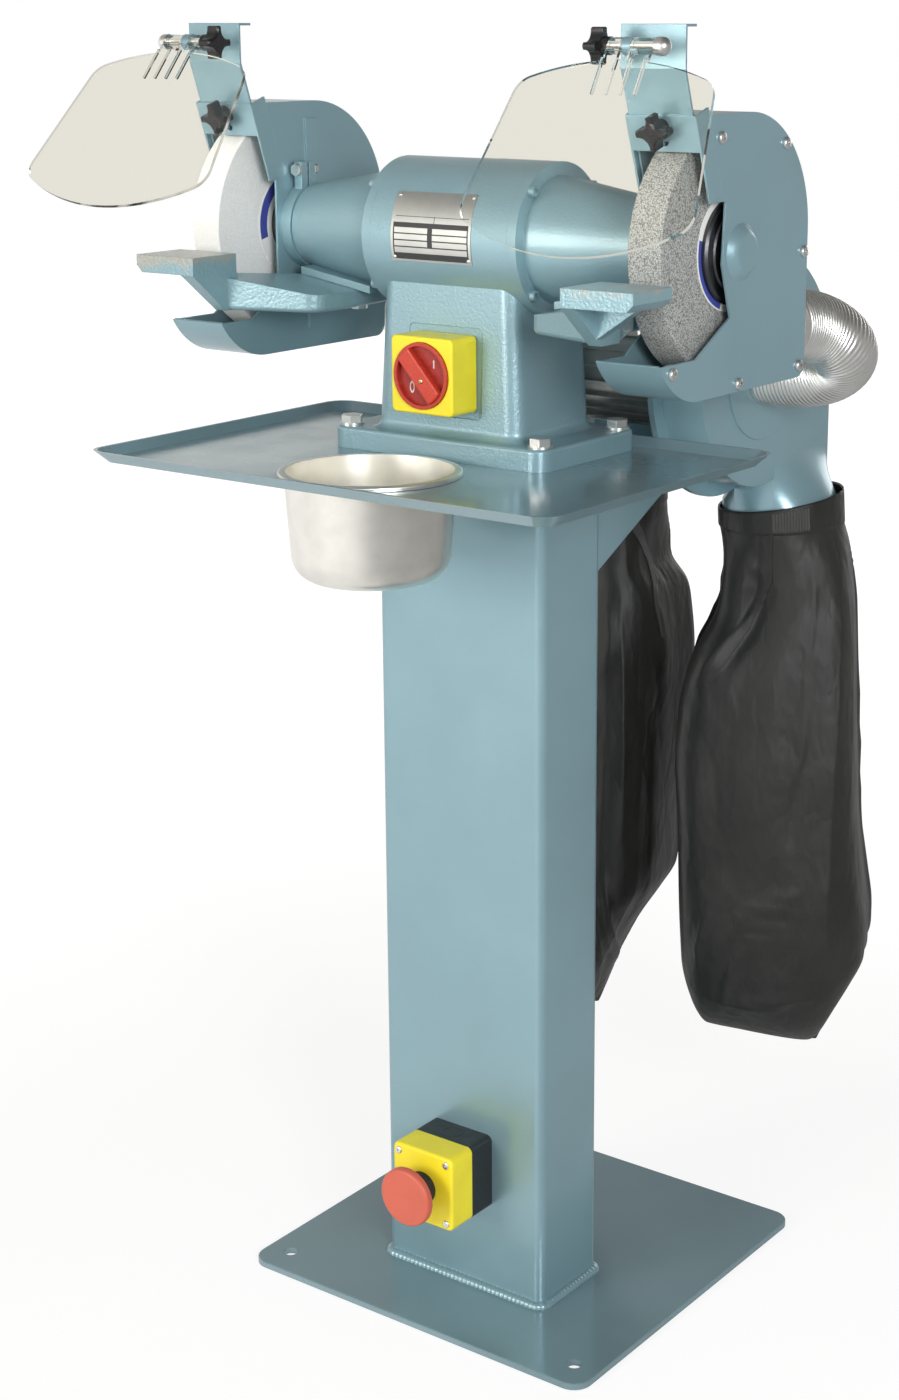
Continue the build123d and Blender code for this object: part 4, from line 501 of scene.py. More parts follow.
def solids_of(node):
    """The lowest and highest corners of each separate solid of a CAD node."""
    work = bmesh.new()
    work.from_mesh(nodes[node].data)
    bmesh.ops.remove_doubles(work, verts=work.verts, dist=1e-6)
    waiting = set(work.verts)
    boxes = []
    while waiting:
        group, edge = [], [waiting.pop()]
        while edge:
            vertex = edge.pop()
            group.append(vertex.co)
            for link in vertex.link_edges:
                other = link.other_vert(vertex)
                if other in waiting:
                    waiting.remove(other)
                    edge.append(other)
        low = Vector([min(p[i] for p in group) for i in range(3)])
        high = Vector([max(p[i] for p in group) for i in range(3)])
        boxes.append((low, high))
    work.free()
    return sorted(boxes, key=lambda pair: tuple(round(x, 4) for x in pair[0]))


def cross_head(name, head, shank):
    """A pan-head screw with a cross recess, its bearing face at z 0 and the head above it."""
    (radius, height), (shank_radius, shank_length) = head, shank
    crown = [(0.0, 0.94), (0.12, 1.0), (0.42, 0.995), (0.66, 0.93), (0.84, 0.78), (0.95, 0.52), (1.0, 0.20)]
    layers = [(-shank_length, shank_radius * 0.8), (-shank_length * 0.96, shank_radius)]
    layers += [(-0.00001, shank_radius)] + [(height * z, radius * r) for z, r in crown]
    solid = ring_mesh(name, turned_rings(layers))
    arm, slot = radius * 0.62, radius * 0.20
    for turn in (0.0, math.pi / 2):
        cutter = bmesh.new()
        made = bmesh.ops.create_cube(cutter, size=1.0)["verts"]
        bmesh.ops.scale(cutter, vec=(2 * arm, slot, height * 1.1), verts=made)
        bmesh.ops.translate(cutter, vec=(0, 0, height), verts=made)
        for vertex in made:
            if vertex.co.z < height:
                vertex.co.x *= 0.55
        bmesh.ops.rotate(cutter, cent=(0, 0, 0), matrix=Matrix.Rotation(turn, 3, "Z"), verts=made)
        mesh = bpy.data.meshes.new("cross")
        cutter.to_mesh(mesh)
        cutter.free()
        solid = carved(solid, mesh)
    return solid


def spline_points(name, points):
    """Points along a smooth NURBS line that has these control points."""
    curve = bpy.data.curves.new(name, "CURVE")
    curve.dimensions = "3D"
    curve.resolution_u = 60
    spline = curve.splines.new("NURBS")
    spline.points.add(len(points) - 1)
    for target, point in zip(spline.points, points):
        target.co = (*point, 1.0)
    spline.order_u = 4
    spline.use_endpoint_u = True
    holder = bpy.data.objects.new(name, curve)
    line = bpy.data.meshes.new_from_object(holder)
    result = [v.co.copy() for v in line.vertices]
    bpy.data.objects.remove(holder)
    bpy.data.meshes.remove(line)
    return result


def walk(points, steps):
    """Evenly spaced places along a line of points, each with a steady frame: place, side, up, distance."""
    lengths = [0.0]
    for a, b in zip(points, points[1:]):
        lengths.append(lengths[-1] + (b - a).length)
    total = lengths[-1]
    result, at, side = [], 0, None
    for i in range(steps + 1):
        distance = total * i / steps
        while at < len(points) - 2 and lengths[at + 1] < distance:
            at += 1
        run = points[at + 1] - points[at]
        place = points[at] + run * ((distance - lengths[at]) / run.length)
        ahead = run.normalized()
        side = ahead.orthogonal() if side is None else side - ahead * side.dot(ahead)
        side.normalize()
        result.append((place, side, ahead.cross(side), distance))
    return result, total


def smoothstep(low, high, value):
    """Rises smoothly from 0 to 1 between two values."""
    t = min(1.0, max(0.0, (value - low) / (high - low)))
    return t * t * (3 - 2 * t)


def curve_at(rows, key):
    """Smooth curve through table rows by their first column, which falls."""
    at = 0
    while at < len(rows) - 2 and key < rows[at + 1][0]:
        at += 1
    upper, lower = rows[at], rows[at + 1]
    before, after = rows[max(at - 1, 0)], rows[min(at + 2, len(rows) - 1)]
    step = upper[0] - lower[0]
    t = min(1.0, max(0.0, (upper[0] - key) / step))
    values = []
    for k in range(1, len(upper)):
        leave = step * (lower[k] - before[k]) / (before[0] - lower[0])
        reach = step * (after[k] - upper[k]) / (upper[0] - after[0])
        blend = (2 * t**3 - 3 * t**2 + 1) * upper[k] + (3 * t**2 - 2 * t**3) * lower[k]
        values.append(blend + (t**3 - 2 * t**2 + t) * leave + (t**3 - t**2) * reach)
    return values


# The surround: what shows through clear sheets, and the floor's level in the picture, where 1 is white
through_level, through_tint = 0.90, (0.95, 0.925, 0.85, 1.0)
floor_level = 1.14
mirrored_low, mirrored_high = 0.35, 1.0

# Lamps: place, size, power, colour
lamps = {
    "key": ((-0.85, -3.2, 1.25), 1.3, 46.0, (1.0, 0.97, 0.92)),
    "fill": ((2.3, -1.75, 1.5), 1.0, 45.0, (0.97, 0.985, 1.0)),
    "rear": ((-0.1, 3.3, 1.3), 1.8, 16.0, (1.0, 1.0, 1.0)),
}
lamp_aim = Vector((0.0, 0.0, 0.70))


def make_world():
    """A white surround that lights more from the sides than from above, and mirrors brighter on one side."""
    world = bpy.data.worlds.new("studio")
    scene.world = world
    world.use_nodes = True
    sky = Nodes(world.node_tree)
    direction = sky.add("TexCoord").outputs["Generated"]
    height = sky.axis(direction, "Z")
    rays = sky.add("LightPath").outputs
    ambient = sky.spread(height, 0.54, 0.25, 0.40, 0.85)
    mirrored = sky.spread(sky.dot(direction, bright_side), mirrored_low, mirrored_high, -0.04, 0.24)
    mirrored = sky.math("MULTIPLY", mirrored, sky.spread(height, 1.0, 0.35, 0.22, 0.60))
    level = sky.blend(rays["Is Glossy Ray"], ambient, mirrored)
    level = sky.blend(rays["Is Transmission Ray"], level, through_level)
    level = sky.blend(rays["Is Camera Ray"], level, 1.0)
    colour = sky.tint(rays["Is Transmission Ray"], (1.0, 0.985, 0.95, 1.0), through_tint)
    colour = sky.tint(rays["Is Camera Ray"], colour, white)
    surround = sky.tree.nodes["Background"]
    sky.join(surround.inputs["Strength"], level)
    sky.join(surround.inputs["Color"], colour)


def make_floor():
    """A pale floor that keeps the shadow and fades to white away from the object."""
    under = -0.0008
    mesh = ring_mesh("floor", turned_rings([(under, 0.02), (under, 9.0)], 96), caps=(True, False))
    floor = bpy.data.objects.new("floor", mesh)
    scene.collection.objects.link(floor)
    look = Look("floor", (0.86, 0.86, 0.86), 0.85)
    look.shade(look.lumps(0.4, 3.0), 0.99, 1.01)
    rays = look.add("LightPath").outputs
    towards = look.add("VectorMath", {0: look.place}, operation="NORMALIZE").outputs[0]
    mirrored = look.spread(look.dot(towards, bright_side), mirrored_low, mirrored_high, -0.2, 0.3)
    level = look.blend(rays["Is Glossy Ray"], floor_level, mirrored)
    level = look.blend(rays["Is Transmission Ray"], level, through_level)
    colour = look.tint(rays["Is Transmission Ray"], white, through_tint)
    glow = look.add("Emission", {"Color": colour, "Strength": level}).outputs[0]
    away = look.add("VectorMath", {0: look.place}, operation="LENGTH").outputs["Value"]
    share = look.spread(away, 0.70, 1.0, 0.5, 2.2)
    shown = look.math("MAXIMUM", rays["Is Camera Ray"], rays["Is Glossy Ray"])
    shown = look.math("MAXIMUM", shown, rays["Is Transmission Ray"])
    factor = look.math("MULTIPLY", shown, share)
    look.show(look.add("MixShader", {0: factor, 1: look.shader.outputs[0], 2: glow}).outputs[0])
    mesh.materials.append(look.material)


def make_lamps():
    """Soft round lamps that look at the object's middle."""
    for name, (place, size, power, colour) in lamps.items():
        lamp = bpy.data.lights.new(name, "AREA")
        lamp.color = colour
        lamp.shape = "DISK"
        lamp.size = size
        lamp.energy = power
        holder = bpy.data.objects.new(name, lamp)
        holder.matrix_world = facing(Vector(place), Vector(place) - lamp_aim)
        scene.collection.objects.link(holder)


def make_camera():
    """The photograph's camera."""
    sensor = 36.0
    camera = bpy.data.cameras.new("camera")
    camera.sensor_width = sensor
    camera.lens = sensor * focal_pixels / image_height
    camera.shift_x = (image_width / 2 - principal_x) / image_height
    camera.shift_y = (principal_y - image_height / 2) / image_height
    camera.clip_start = 0.05
    camera.clip_end = 60.0
    holder = bpy.data.objects.new("camera", camera)
    turn = Matrix.Rotation(math.radians(camera_yaw), 4, "Z")
    tilt = Matrix.Rotation(math.radians(90.0 + camera_pitch), 4, "X")
    roll = Matrix.Rotation(math.radians(camera_roll), 4, "Z")
    holder.matrix_world = Matrix.Translation(camera_place) @ turn @ tilt @ roll
    scene.collection.objects.link(holder)
    scene.camera = holder


def dress_nodes():
    """Materials for the CAD nodes that stay in view, by the slot that the record gives them."""
    for part in frame["record"]["subparts"]:
        if part["material_slot"] == "clear":
            clear_sheet(part["node"]).on(part["node"])
        else:
            looks[part["material_slot"]].on(part["node"])
    looks["gloss_paint"].on("tray", "base_plate")
    looks["stop_red"].on("stop_button")
    looks["paint"].on("end_bell_screws")
    looks["motor_metal"].on("fan_motor")


def make_hoses():
    """Fine-pleated aluminium hoses from guards to fans, pinched in the bend, with a band near the guard."""
    pitch, per_pleat, segments = 0.0038, 8, 72
    pleat_depth, band_depth, unevenness = 0.0010, 0.0011, 0.00030
    dent_share, tightest = 0.006, 0.85
    groove_start, groove_end = (0.008, 0.0095), (0.0135, 0.015)
    pleats_start, plain_end = (0.014, 0.017), (0.001, 0.005)
    smooth = hose_radius - pleat_depth
    for side, sign in (("left", -1), ("right", 1)):
        route = [Vector((sign * x, y, z)) for x, y, z in hose_route]
        route.append(Vector((hose_inlet_x[side], *route[-1].yz)))
        line = spline_points("hose_line_" + side, route)
        length = sum((b - a).length for a, b in zip(line, line[1:]))
        pleats = round(length / pitch)
        places, length = walk(line, pleats * per_pleat)
        near = 4 * per_pleat
        rings = []
        for i, (place, across, up, distance) in enumerate(places):
            turns = distance * pleats / length
            wave = 0.5 + 0.5 * math.cos(2 * math.pi * turns)
            uneven = unevenness * noise.noise(Vector((round(turns) * 0.73, sign * 5.0, 0.0)))
            ribbed = smooth + pleat_depth * wave + uneven
            band = band_depth * (smoothstep(*groove_start, distance) - smoothstep(*groove_end, distance))
            radius = hose_radius + (ribbed - hose_radius) * smoothstep(*pleats_start, distance) - band
            radius = smooth + (radius - smooth) * smoothstep(*plain_end, length - distance)
            before, after = places[max(i - near, 0)], places[min(i + near, len(places) - 1)]
            bend = (after[1].cross(after[2]) - before[1].cross(before[2])) / (after[3] - before[3])
            inner, limit = bend.normalized(), tightest / max(bend.length, 1.0)
            ring = []
            for k in range(segments):
                angle = 2 * math.pi * k / segments
                ray = across * math.cos(angle) + up * math.sin(angle)
                dent = 1.0 + dent_share * noise.noise(place * 14.0 + ray)
                inward = max(0.0, ray.dot(inner)) * radius * dent
                pinch = inward - limit * math.tanh(inward / limit)
                ring.append(place + ray * radius * dent - inner * pinch)
            rings.append(ring)
        name = "hose_" + side + "_pleated"
        piece(name, ring_mesh(name, rings, sharp=80.0), "hose_metal", "hose_" + side)


def make_throat_plates():
    """Plates that carry each fan's flange down to its neck, where the construction leaves a slot."""
    size, y, z = (0.0052, 0.0600, 0.0260), 0.2685, 0.7652
    plate = box_mesh("throat_plate", size, 0.0006)
    places = [Matrix.Translation((x, y, z)) for x in flange_places]
    piece("throat_plates", copies("throat_plates", plate, places), "paint")


# A bag's rows in millimetres: height, reach left and right in the photograph, half depth; and the row's slope
right_bag_rows = (
    (718.5, -58.2, 58.2, 58.2, 0.17),
    (706, -58.4, 58.8, 58.6, 0.12),
    (693, -57, 60.5, 58.6, 0.05),
    (680, -55.2, 65, 59.2, 0.02),
    (662, -55, 70, 61, 0.0),
    (626, -58.5, 75, 66, 0.0),
    (608, -62.5, 76.5, 69, 0.0),
    (574, -79, 79, 74, 0.0),
    (540, -90, 81, 78, 0.0),
    (500, -97, 83.5, 81, 0.0),
    (462, -100, 86, 83, 0.0),
    (401, -97, 89, 84, 0.0),
    (340, -93, 96, 85, 0.0),
    (305, -90.5, 101, 85, 0.0),
    (285, -89, 102, 84, -0.01),
    (270, -88, 101, 82, -0.03),
    (250, -86.5, 91, 78, -0.06),
    (225, -82.5, 78, 69, -0.1),
    (200, -76, 66, 53, -0.15),
    (183, -69, 57.5, 33, -0.18),
    (174, -63, 52, 15, -0.18),
    (171.5, -60, 50, 4, -0.18),
)
left_bag_rows = (
    (718.5, -58.2, 58.2, 58.2, 0.05),
    (706, -58.4, 58.8, 58.6, 0.03),
    (693, -58.5, 60, 58.6, 0.0),
    (660, -60, 62.5, 61, 0.0),
    (634, -64, 64.5, 65, 0.0),
    (611, -70, 80, 70, 0.0),
    (590, -76, 85.5, 74, 0.0),
    (543, -83, 89, 79, 0.0),
    (462, -87, 84, 82, 0.0),
    (380, -88, 78.5, 83, 0.0),
    (305, -87, 75, 82, 0.0),
    (275, -86, 58, 79, 0.0),
    (243, -83, 35.7, 72, 0.0),
    (200, -77, 13.5, 57, 0.0),
    (170, -70, 3, 37, 0.0),
    (156, -62, -2, 17, 0.0),
    (152, -58, -4, 4, 0.0),
)

# Folds on a bag's front in millimetres, in the photograph's view plane at the neck: line, half width, height
right_bag_folds = (
    (((53, 663), (26, 612), (6, 567), (-12, 497), (-27, 425), (-40, 340)), 16, 3),
    (((38, 480), (24, 420), (19, 394), (24, 340)), 5, -1.6),
    (((61, 670), (60, 597), (59, 507), (57, 394), (55, 289), (51, 180)), 11, 3),
    (((-75, 212), (-42, 199), (-12, 194), (23, 204), (58, 206)), 7, 3),
    (((30, 322), (8, 310), (-9, 300), (-29, 289), (-50, 255)), 6, 2.6),
    (((10, 300), (-6, 288), (-24, 272), (-36, 244)), 4, -1.8),
    (((-28, 262), (-40, 222), (-46, 185)), 5, 2.6),
    (((4, 270), (-2, 235), (-10, 190)), 5, -2),
    (((30, 255), (22, 228), (16, 198)), 5, 1.8),
    (((-62, 300), (-70, 262), (-68, 225)), 5, 2),
    (((-37, 656), (-23, 646), (-9, 642)), 6, 1.4),
    (((-22, 610), (-57, 570), (-82, 524)), 11, 3.4),
    (((-6, 650), (-15, 612), (-26, 587), (-49, 552), (-76, 522)), 8, -2.4),
    (((-80, 500), (-60, 450), (-55, 380), (-62, 300)), 14, -2),
    (((-20, 672), (-26, 625), (-40, 592), (-66, 556)), 15, -6),
)
left_bag_folds = (
    (((14, 610), (17, 525), (19, 429), (18, 300)), 9, 3.2),
    (((-1, 600), (4, 551), (-1, 510)), 8, 2.4),
    (((-1, 300), (6, 243), (12, 209), (1, 150)), 4, 3.6),
    (((-8, 300), (-1, 240), (5, 206), (-4, 155)), 4, 3.6),
    (((-15, 295), (-8, 236), (-3, 202), (-10, 160)), 4, 3.6),
    (((46, 610), (58, 549), (60, 460)), 7, 2.6),
    (((64, 480), (50, 330), (38, 240)), 11, 3.4),
)
seam_line = ((-8, 683), (-8, 660), (-7, 636), (-15, 612), (-26, 587), (-49, 552), (-71, 527))
strap_line = ((19, 686), (26.5, 668), (33.5, 655), (43, 629), (48, 606), (50.5, 583), (57.5, 549))


def line_distance(place, line):
    """How far a point is from a line of points, and how far along it, from 0 to 1, the nearest spot is."""
    best, along = 1.0, 0.0
    for i, (start, end) in enumerate(zip(line, line[1:])):
        run = end - start
        share = min(1.0, max(0.0, (place - start).dot(run) / run.length_squared))
        away = (place - start - run * share).length
        if away < best:
            best, along = away, (i + share) / (len(line) - 1)
    return best, along


def bag_section(power, turn, count):
    """Points round a rounded square of unit half width and depth that is turned on its axis."""
    points = []
    for k in range(count):
        angle = 2 * math.pi * k / count
        x, y = (math.copysign(abs(f) ** power, f) for f in (math.cos(angle), math.sin(angle)))
        points.append((x * math.cos(turn) - y * math.sin(turn), x * math.sin(turn) + y * math.cos(turn)))
    wide, deep = (max(p[i] for p in points) for i in (0, 1))
    return [Vector((x / wide, y / deep)) for x, y in points]


def bag_mesh(name, neck, rows, folds, turn, seed):
    """A hanging bag with a sewn bottom: rounded square sections, the photograph's folds and slow swells."""
    layers, segments = 190, 200
    fold_gain, fold_power, front = 1.7, 1.6, 0.02
    swell_depth, crease_depth, rear_crease_depth = 0.0045, 0.001, 0.006
    mouth, gathered = (0.690, 0.640), (0.23, 0.175)
    reach = (neck - camera_place).dot(photo_ahead)
    aside = (neck - camera_place).dot(photo_right)
    lines = [[Vector((u / 1000, z / 1000)) for u, z in fold[0]] for fold in folds]
    sizes = [(width / 1000, height / 1000) for _, width, height in folds]
    rings = []
    for i in range(layers + 1):
        height = rows[-1][0] + (rows[0][0] - rows[-1][0]) * (1.0 - i / layers) ** 1.2
        left, right, depth, slope = curve_at(rows, height)
        loose = smoothstep(*mouth, height)
        soft = loose * (1.0 - 0.75 * smoothstep(*gathered, height))
        ring = []
        for spot in bag_section(2.0 / (2.0 + 2.4 * loose), turn, segments):
            across = (left + right) / 2 + (right - left) / 2 * spot.x
            back = depth * spot.y
            level = height + slope * (across - (left + right) / 2)
            swell = noise.noise(Vector((spot.x * 1.2 + seed, spot.y * 1.2, height * 5.0)))
            wavy = Vector((spot.x * 2.0, spot.y * 2.0 + seed, height * 2.6 + spot.x * 0.5))
            crease = (1.0 - abs(noise.noise(wavy))) ** 5
            rear = rear_crease_depth * smoothstep(-0.2, 0.3, spot.y)
            push = soft * (swell_depth * swell + (rear + crease_depth) * (crease - 0.4))
            if back < front:
                zoom = reach / (reach + back)
                seen_height = camera_place.z + (level - camera_place.z) * zoom
                seen = Vector(((across + aside) * zoom - aside, seen_height))
                for line, (width, rise) in zip(lines, sizes):
                    away, along = line_distance(seen, line)
                    if away < 2 * width:
                        fade = math.sin(math.pi * along) * smoothstep(front, -front, back)
                        push += fold_gain * rise * (1.0 - away / (2 * width)) ** fold_power * fade
            out = spot.normalized() * push
            place = neck + photo_right * (across + out.x) + photo_ahead * (back + out.y)
            ring.append(place + Vector((0, 0, level)))
        rings.append(ring)
    return ring_mesh(name, rings, caps=(False, True), sharp=180.0)


def ribbon(name, tree, neck, line, widths, thickness, rib, pitch):
    """A flat band on a bag's front along a line of the photograph's view plane, ribbed across it."""
    points = [neck + photo_right * (u / 1000) + Vector((0, 0, z / 1000)) for u, z in line]
    length = sum((b - a).length for a, b in zip(points, points[1:]))
    path, total = walk(points, round(length / (pitch / 4)))
    sunk = 0.0010
    rings = []
    for place, _, _, distance in path:
        spot, normal, _, _ = tree.ray_cast(camera_place, (place - camera_place).normalized())
        if spot is None:
            continue
        ahead = (path[-1][0] - path[0][0]).normalized()
        side = normal.cross(ahead).normalized()
        half = (widths[0] + (widths[1] - widths[0]) * distance / total) / 2
        top = thickness + rib * math.cos(2 * math.pi * distance / pitch)
        corners = [(-half, -sunk), (half, -sunk), (half, 0.6 * top), (0.8 * half, top)]
        corners += [(-0.8 * half, top), (-half, 0.6 * top)]
        rings.append([spot + side * x + normal * z for x, z in corners])
    return ring_mesh(name, rings, sharp=60.0)


def make_bags():
    """Black nylon dust bags on the fans' necks, each with its hem, and what is sewn on them."""
    kinds = {
        "right": (right_bag_rows, right_bag_folds, -10.0, 2.3),
        "left": (left_bag_rows, left_bag_folds, -32.0, 7.9),
    }
    for side, (rows, folds, turn, seed) in kinds.items():
        neck = Vector((*neck_places[side], 0.0))
        rows = [(*(x / 1000 for x in row[:-1]), row[-1]) for row in rows]
        mesh = bag_mesh("bag_" + side + "_shell", neck, rows, folds, math.radians(turn), seed)
        piece("bag_" + side + "_shell", mesh, "bag_cloth", "bag_" + side)
        tree = BVHTree.FromPolygons([v.co for v in mesh.vertices], [p.vertices for p in mesh.polygons])
        if side == "right":
            seam = ribbon("bag_seam", tree, neck, seam_line, (0.0030, 0.0024), 0.0008, 0.00015, 0.003)
            piece("bag_seam", seam, "bag_cloth")
        else:
            strap = ribbon("bag_strap", tree, neck, strap_line, (0.0120, 0.0020), 0.0014, 0.0003, 0.0022)
            piece("bag_strap", strap, "webbing", slot="bag_cloth")
        make_hem(side, neck, rows)


# The hem's section: share of the way down it, lift off the bag
hem_height = 0.026
hem_outline = (
    (0.05, -0.0010), (0.00, 0.0), (0.03, 0.0009), (0.12, 0.0011),
    (0.88, 0.0011), (0.96, 0.0009), (1.0, -0.0003),
)


def hem_spot(neck, rows, angle, share, lift):
    """A place on the hem: angle round the neck from the photograph's right, and share of the way down."""
    height = rows[0][0] - hem_height * share
    left, right, depth, slope = curve_at(rows, height)
    across = ((right - left) / 2 + lift) * math.cos(angle)
    back = (depth + lift) * math.sin(angle)
    level = height + slope * across
    return neck + photo_right * ((left + right) / 2 + across) + photo_ahead * back + Vector((0, 0, level))


def make_hem(side, neck, rows):
    """The hem round the bag's mouth, with a patch of ribbed elastic on its front."""
    segments, waviness = 180, 0.0004
    rings = []
    for share, lift in hem_outline:
        ring = []
        for k in range(segments):
            angle = 2 * math.pi * k / segments
            wave = waviness * noise.noise(Vector((math.cos(angle) * 2.5, math.sin(angle) * 2.5, share)))
            ring.append(hem_spot(neck, rows, angle, share, lift + wave))
        rings.append(ring)
    mesh = ring_mesh("bag_hem_" + side, rings, caps=(False, False), sharp=180.0)
    piece("bag_hem_" + side, mesh, "bag_cloth")

    ribs, per_rib, left, right = 13, 8, math.radians(256.0), math.radians(290.0)
    middle_rise, rib_rise, rounding = 0.0019, 0.0007, 0.0003
    rings = []
    for k in range(ribs * per_rib + 1):
        angle = left + (right - left) * k / (ribs * per_rib)
        rise = middle_rise - rib_rise * math.cos(2 * math.pi * k / per_rib)
        outline = [(0.14, 0.0), (0.14, rise - rounding), (0.18, rise)]
        outline += [(0.82, rise), (0.86, rise - rounding), (0.86, 0.0)]
        rings.append([hem_spot(neck, rows, angle, share, lift) for share, lift in outline])
    elastic = ring_mesh("bag_elastic_" + side, rings, sharp=60.0)
    piece("bag_elastic_" + side, elastic, "elastic", slot="bag_cloth")


def make_screws():
    """Cross-recess screws in the guard covers and the stop station's lid."""
    places = []
    for i, (low, high) in enumerate(solids_of("cover_screws")):
        sign = math.copysign(1.0, low.x)
        centre = (low + high) / 2
        seat = (high.x if sign > 0 else low.x) - sign * cover_head[1]
        places.append(facing(Vector((seat, centre.y, centre.z)), (sign, 0, 0), 0.7 * i))
    head = cross_head("cover_screw", cover_head, cover_shank)
    piece("cover_screw_heads", copies("cover_screw_heads", head, places), "zinc", "cover_screws")

    places = []
    for i, (low, high) in enumerate(solids_of("stop_lid_screws")):
        centre = (low + high) / 2
        seat = low.y + stop_head[1]
        places.append(facing(Vector((centre.x, seat, centre.z)), (0, -1, 0), 0.4 + 0.9 * i))
    head = cross_head("stop_screw", stop_head, stop_shank)
    piece("stop_screw_heads", copies("stop_screw_heads", head, places), "zinc", "stop_lid_screws")


def make_switch_marks():
    """Plain off and on marks in the handle's recesses, and the brass screw in its grip."""
    low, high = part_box("switch_handle")
    centre = (low + high) / 2
    along = Vector((math.cos(handle_angle), 0.0, math.sin(handle_angle)))
    beside = Vector((along.z, 0.0, -along.x))
    mark_offset, screw_offset = 0.0155, 0.005
    recess = Vector((centre.x, low.y + handle_recess, centre.z))
    layers = [(-0.0001, 0.0026), (0.0004, 0.0025), (0.0004, 0.0017), (-0.0001, 0.0016)]
    zero = ring_mesh("off_mark", turned_rings(layers), caps=(False, False))
    zero.transform(facing(recess - beside * mark_offset, (0, -1, 0)) @ Matrix.Diagonal((1.0, 2.0, 1.0, 1.0)))
    piece("off_mark", zero, "mark_white", slot="switch_red", body="switch_handle")
    bar = box_mesh("on_mark", (0.0012, 0.0070, 0.0006), 0.0002)
    bar.transform(facing(recess + beside * mark_offset, (0, -1, 0)))
    piece("on_mark", bar, "mark_white", slot="switch_red", body="switch_handle")
    screw = cross_head("grip_screw", grip_head, grip_shank)
    screw.transform(facing(Vector((centre.x, low.y, centre.z)) - along * screw_offset, (0, -1, 0), 0.5))
    soften(screw, 35.0)
    piece("grip_screw", screw, "brass", slot="dark_steel", body="switch_handle")


def make_stop_details():
    """The knock-out ring on the stop station's top, and the ribs of its collar."""
    low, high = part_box("stop_base")
    layers = [(-0.0002, 0.0098), (0.0003, 0.0096), (0.0003, 0.0087), (-0.0002, 0.0085)]
    ring = ring_mesh("knockout_ring", turned_rings(layers, 64), caps=(False, False))
    ring.transform(Matrix.Translation(((low.x + high.x) / 2, (low.y + high.y) / 2, high.z)))
    piece("knockout_ring", ring, "switch_black")

    low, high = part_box("stop_collar")
    first_rib, rib_pitch, rib_count, rib_rise = 0.0022, 0.0030, 3, 0.0007
    layers = []
    for k in range(rib_count):
        foot = first_rib + rib_pitch * k
        layers += [(foot, 0.0), (foot + 0.0004, rib_rise), (foot + 0.0012, rib_rise), (foot + 0.0016, 0.0)]
    layers = [(height, stop_collar_radius - 0.0001 + rise) for height, rise in layers]
    ribs = ring_mesh("collar_ribs", turned_rings(layers, 64), caps=(False, False))
    ribs.transform(facing(Vector(((low.x + high.x) / 2, high.y, (low.z + high.z) / 2)), (0, -1, 0)))
    piece("collar_ribs", ribs, "switch_black")


# Printed bars of the rating plate, as shares of its width and height: left, right, top, bottom
plate_bars = (
    (0.05, 0.97, 0.365, 0.373),
    (0.535, 0.542, 0.373, 0.455),
    (0.03, 0.97, 0.455, 0.525),
    (0.465, 0.525, 0.525, 0.800),
    (0.03, 0.045, 0.525, 0.970),
    (0.955, 0.97, 0.525, 0.970),
    (0.045, 0.955, 0.600, 0.618),
    (0.045, 0.955, 0.692, 0.710),
    (0.045, 0.955, 0.784, 0.802),
    (0.045, 0.955, 0.880, 0.970),
)


def plate_spot(x, share, lift):
    """A place on the rating plate by its height as a share from the top, and the direction out of it."""
    angle = plate_middle + plate_half_arc * (1.0 - 2.0 * share)
    out = Vector((0.0, -math.cos(angle), math.sin(angle)))
    return Vector((x, spindle_axis.y, spindle_axis.z)) + out * (plate_outer_radius + lift), out


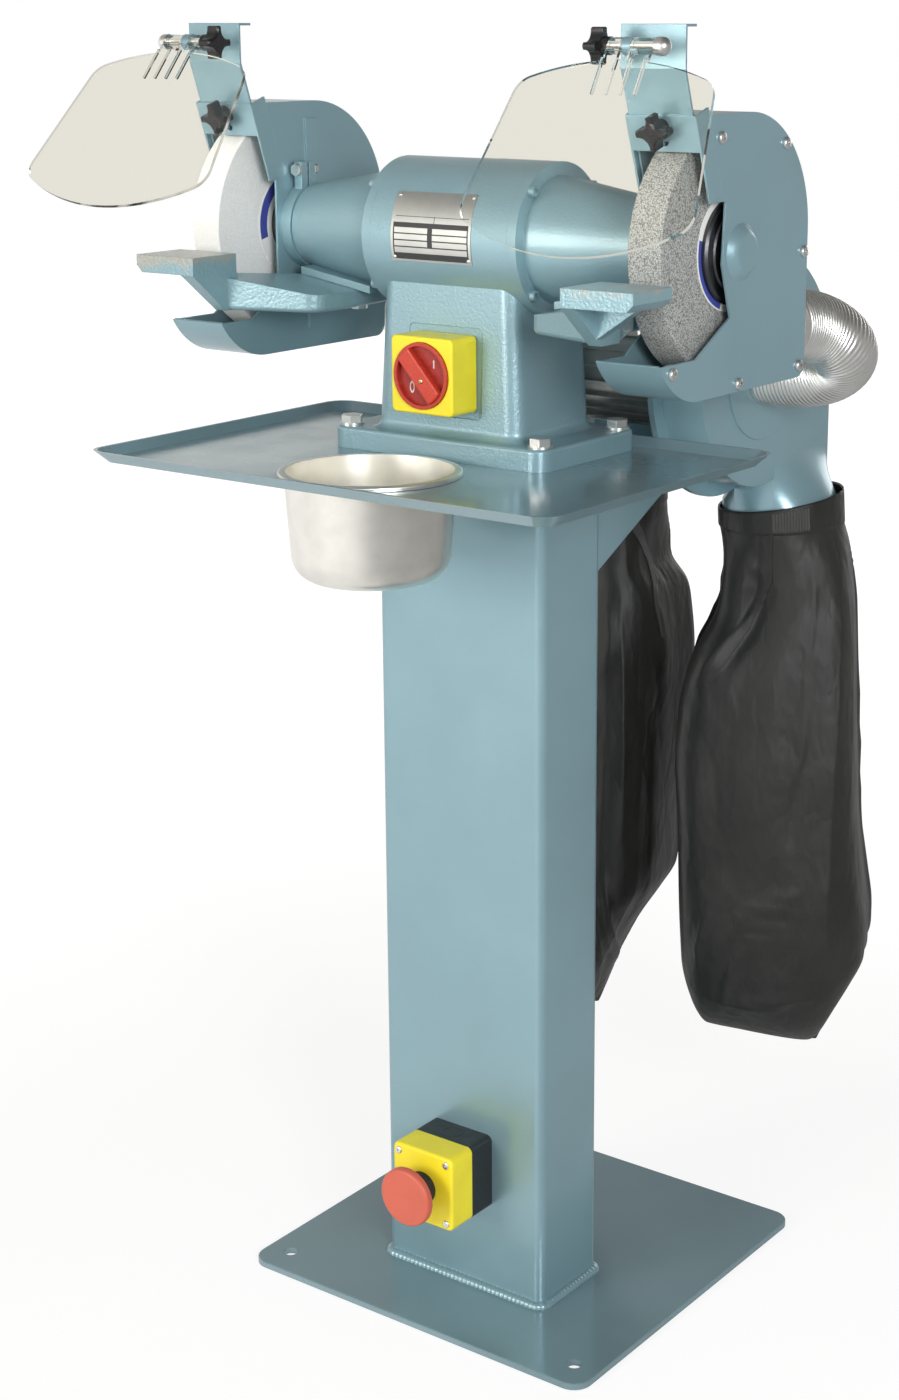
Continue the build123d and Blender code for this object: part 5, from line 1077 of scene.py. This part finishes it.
def make_plate_fields():
    """Dark ruled fields, left blank, on the rating plate, and its four rivets."""
    print_rise, print_depth, rivet_inset = 0.00006, 0.0002, 0.0032
    low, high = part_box("rating_plate")
    meshes = []
    for left, right, top, bottom in plate_bars:
        sides = [low.x + (high.x - low.x) * share for share in (left, right)]
        steps = max(1, round((bottom - top) * 30))
        rings = []
        for i in range(steps + 1):
            share = top + (bottom - top) * i / steps
            corners = [(x, -print_depth) for x in sides] + [(x, print_rise) for x in reversed(sides)]
            rings.append([plate_spot(x, share, lift)[0] for x, lift in corners])
        meshes.append(ring_mesh("plate_bar", rings))
    piece("plate_print", joined("plate_print", meshes), "print_black", slot="plate")
    dome = [(-0.0004, 0.0017), (0.0, 0.0017), (0.0005, 0.0015), (0.0008, 0.0009), (0.0009, 0.0002)]
    rivet = ring_mesh("rivet", turned_rings(dome, 24))
    columns = (low.x + rivet_inset, high.x - rivet_inset)
    places = [facing(*plate_spot(x, share, 0.0)) for x in columns for share in (0.055, 0.945)]
    piece("plate_rivets", copies("plate_rivets", rivet, places), "zinc")


def make_weld():
    """Overlapping weld ripples round the column's foot."""
    low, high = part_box("column")
    middle = (low + high) / 2
    reach = (high - low) / 2 - Vector((weld_leg, weld_leg, 0.0))
    corner = column_corner_radius
    ripple_pitch, steps, arc_steps, sunk = 0.0048, 6, 8, 0.001
    least, ripple, uneven = 1.02, 0.13, 0.10
    line = []
    for sign_x, sign_y, start in ((1, 1, 0), (-1, 1, 1), (-1, -1, 2), (1, -1, 3)):
        for k in range(arc_steps + 1):
            angle = math.pi / 2 * (start + k / arc_steps)
            x = middle.x + sign_x * (reach.x - corner) + corner * math.cos(angle)
            y = middle.y + sign_y * (reach.y - corner) + corner * math.sin(angle)
            line.append(Vector((x, y, base_top)))
    line.append(line[0])
    ripples = round(sum((b - a).length for a, b in zip(line, line[1:])) / ripple_pitch)
    path, total = walk(line, ripples * steps)
    rings = []
    for i, (place, _, _, distance) in enumerate(path):
        ahead = (path[(i + 1) % (len(path) - 1)][0] - path[i - 1 if i else -2][0]).normalized()
        out = Vector((ahead.y, -ahead.x, 0.0))
        phase = distance * ripples / total % 1.0
        bulge = ripple * math.sin(math.pi * phase) ** 0.7 + uneven * noise.noise(place * 60.0)
        size = weld_leg * (least + bulge)
        ring = [place - out * sunk - Vector((0, 0, sunk))]
        for k in range(arc_steps + 1):
            angle = math.pi / 2 * k / arc_steps
            ring.append(place + out * (size * math.cos(angle)) + Vector((0, 0, size * math.sin(angle))))
        rings.append(ring)
    rings[-1] = [p.copy() for p in rings[0]]
    weld = ring_mesh("foot_weld", rings, caps=(False, False), sharp=60.0)
    piece("foot_weld", weld, "paint")


make_world()
make_floor()
make_lamps()
make_camera()
looks = make_looks()
dress_nodes()
make_hoses()
make_throat_plates()
make_bags()
make_screws()
make_switch_marks()
make_stop_details()
make_plate_fields()
make_weld()
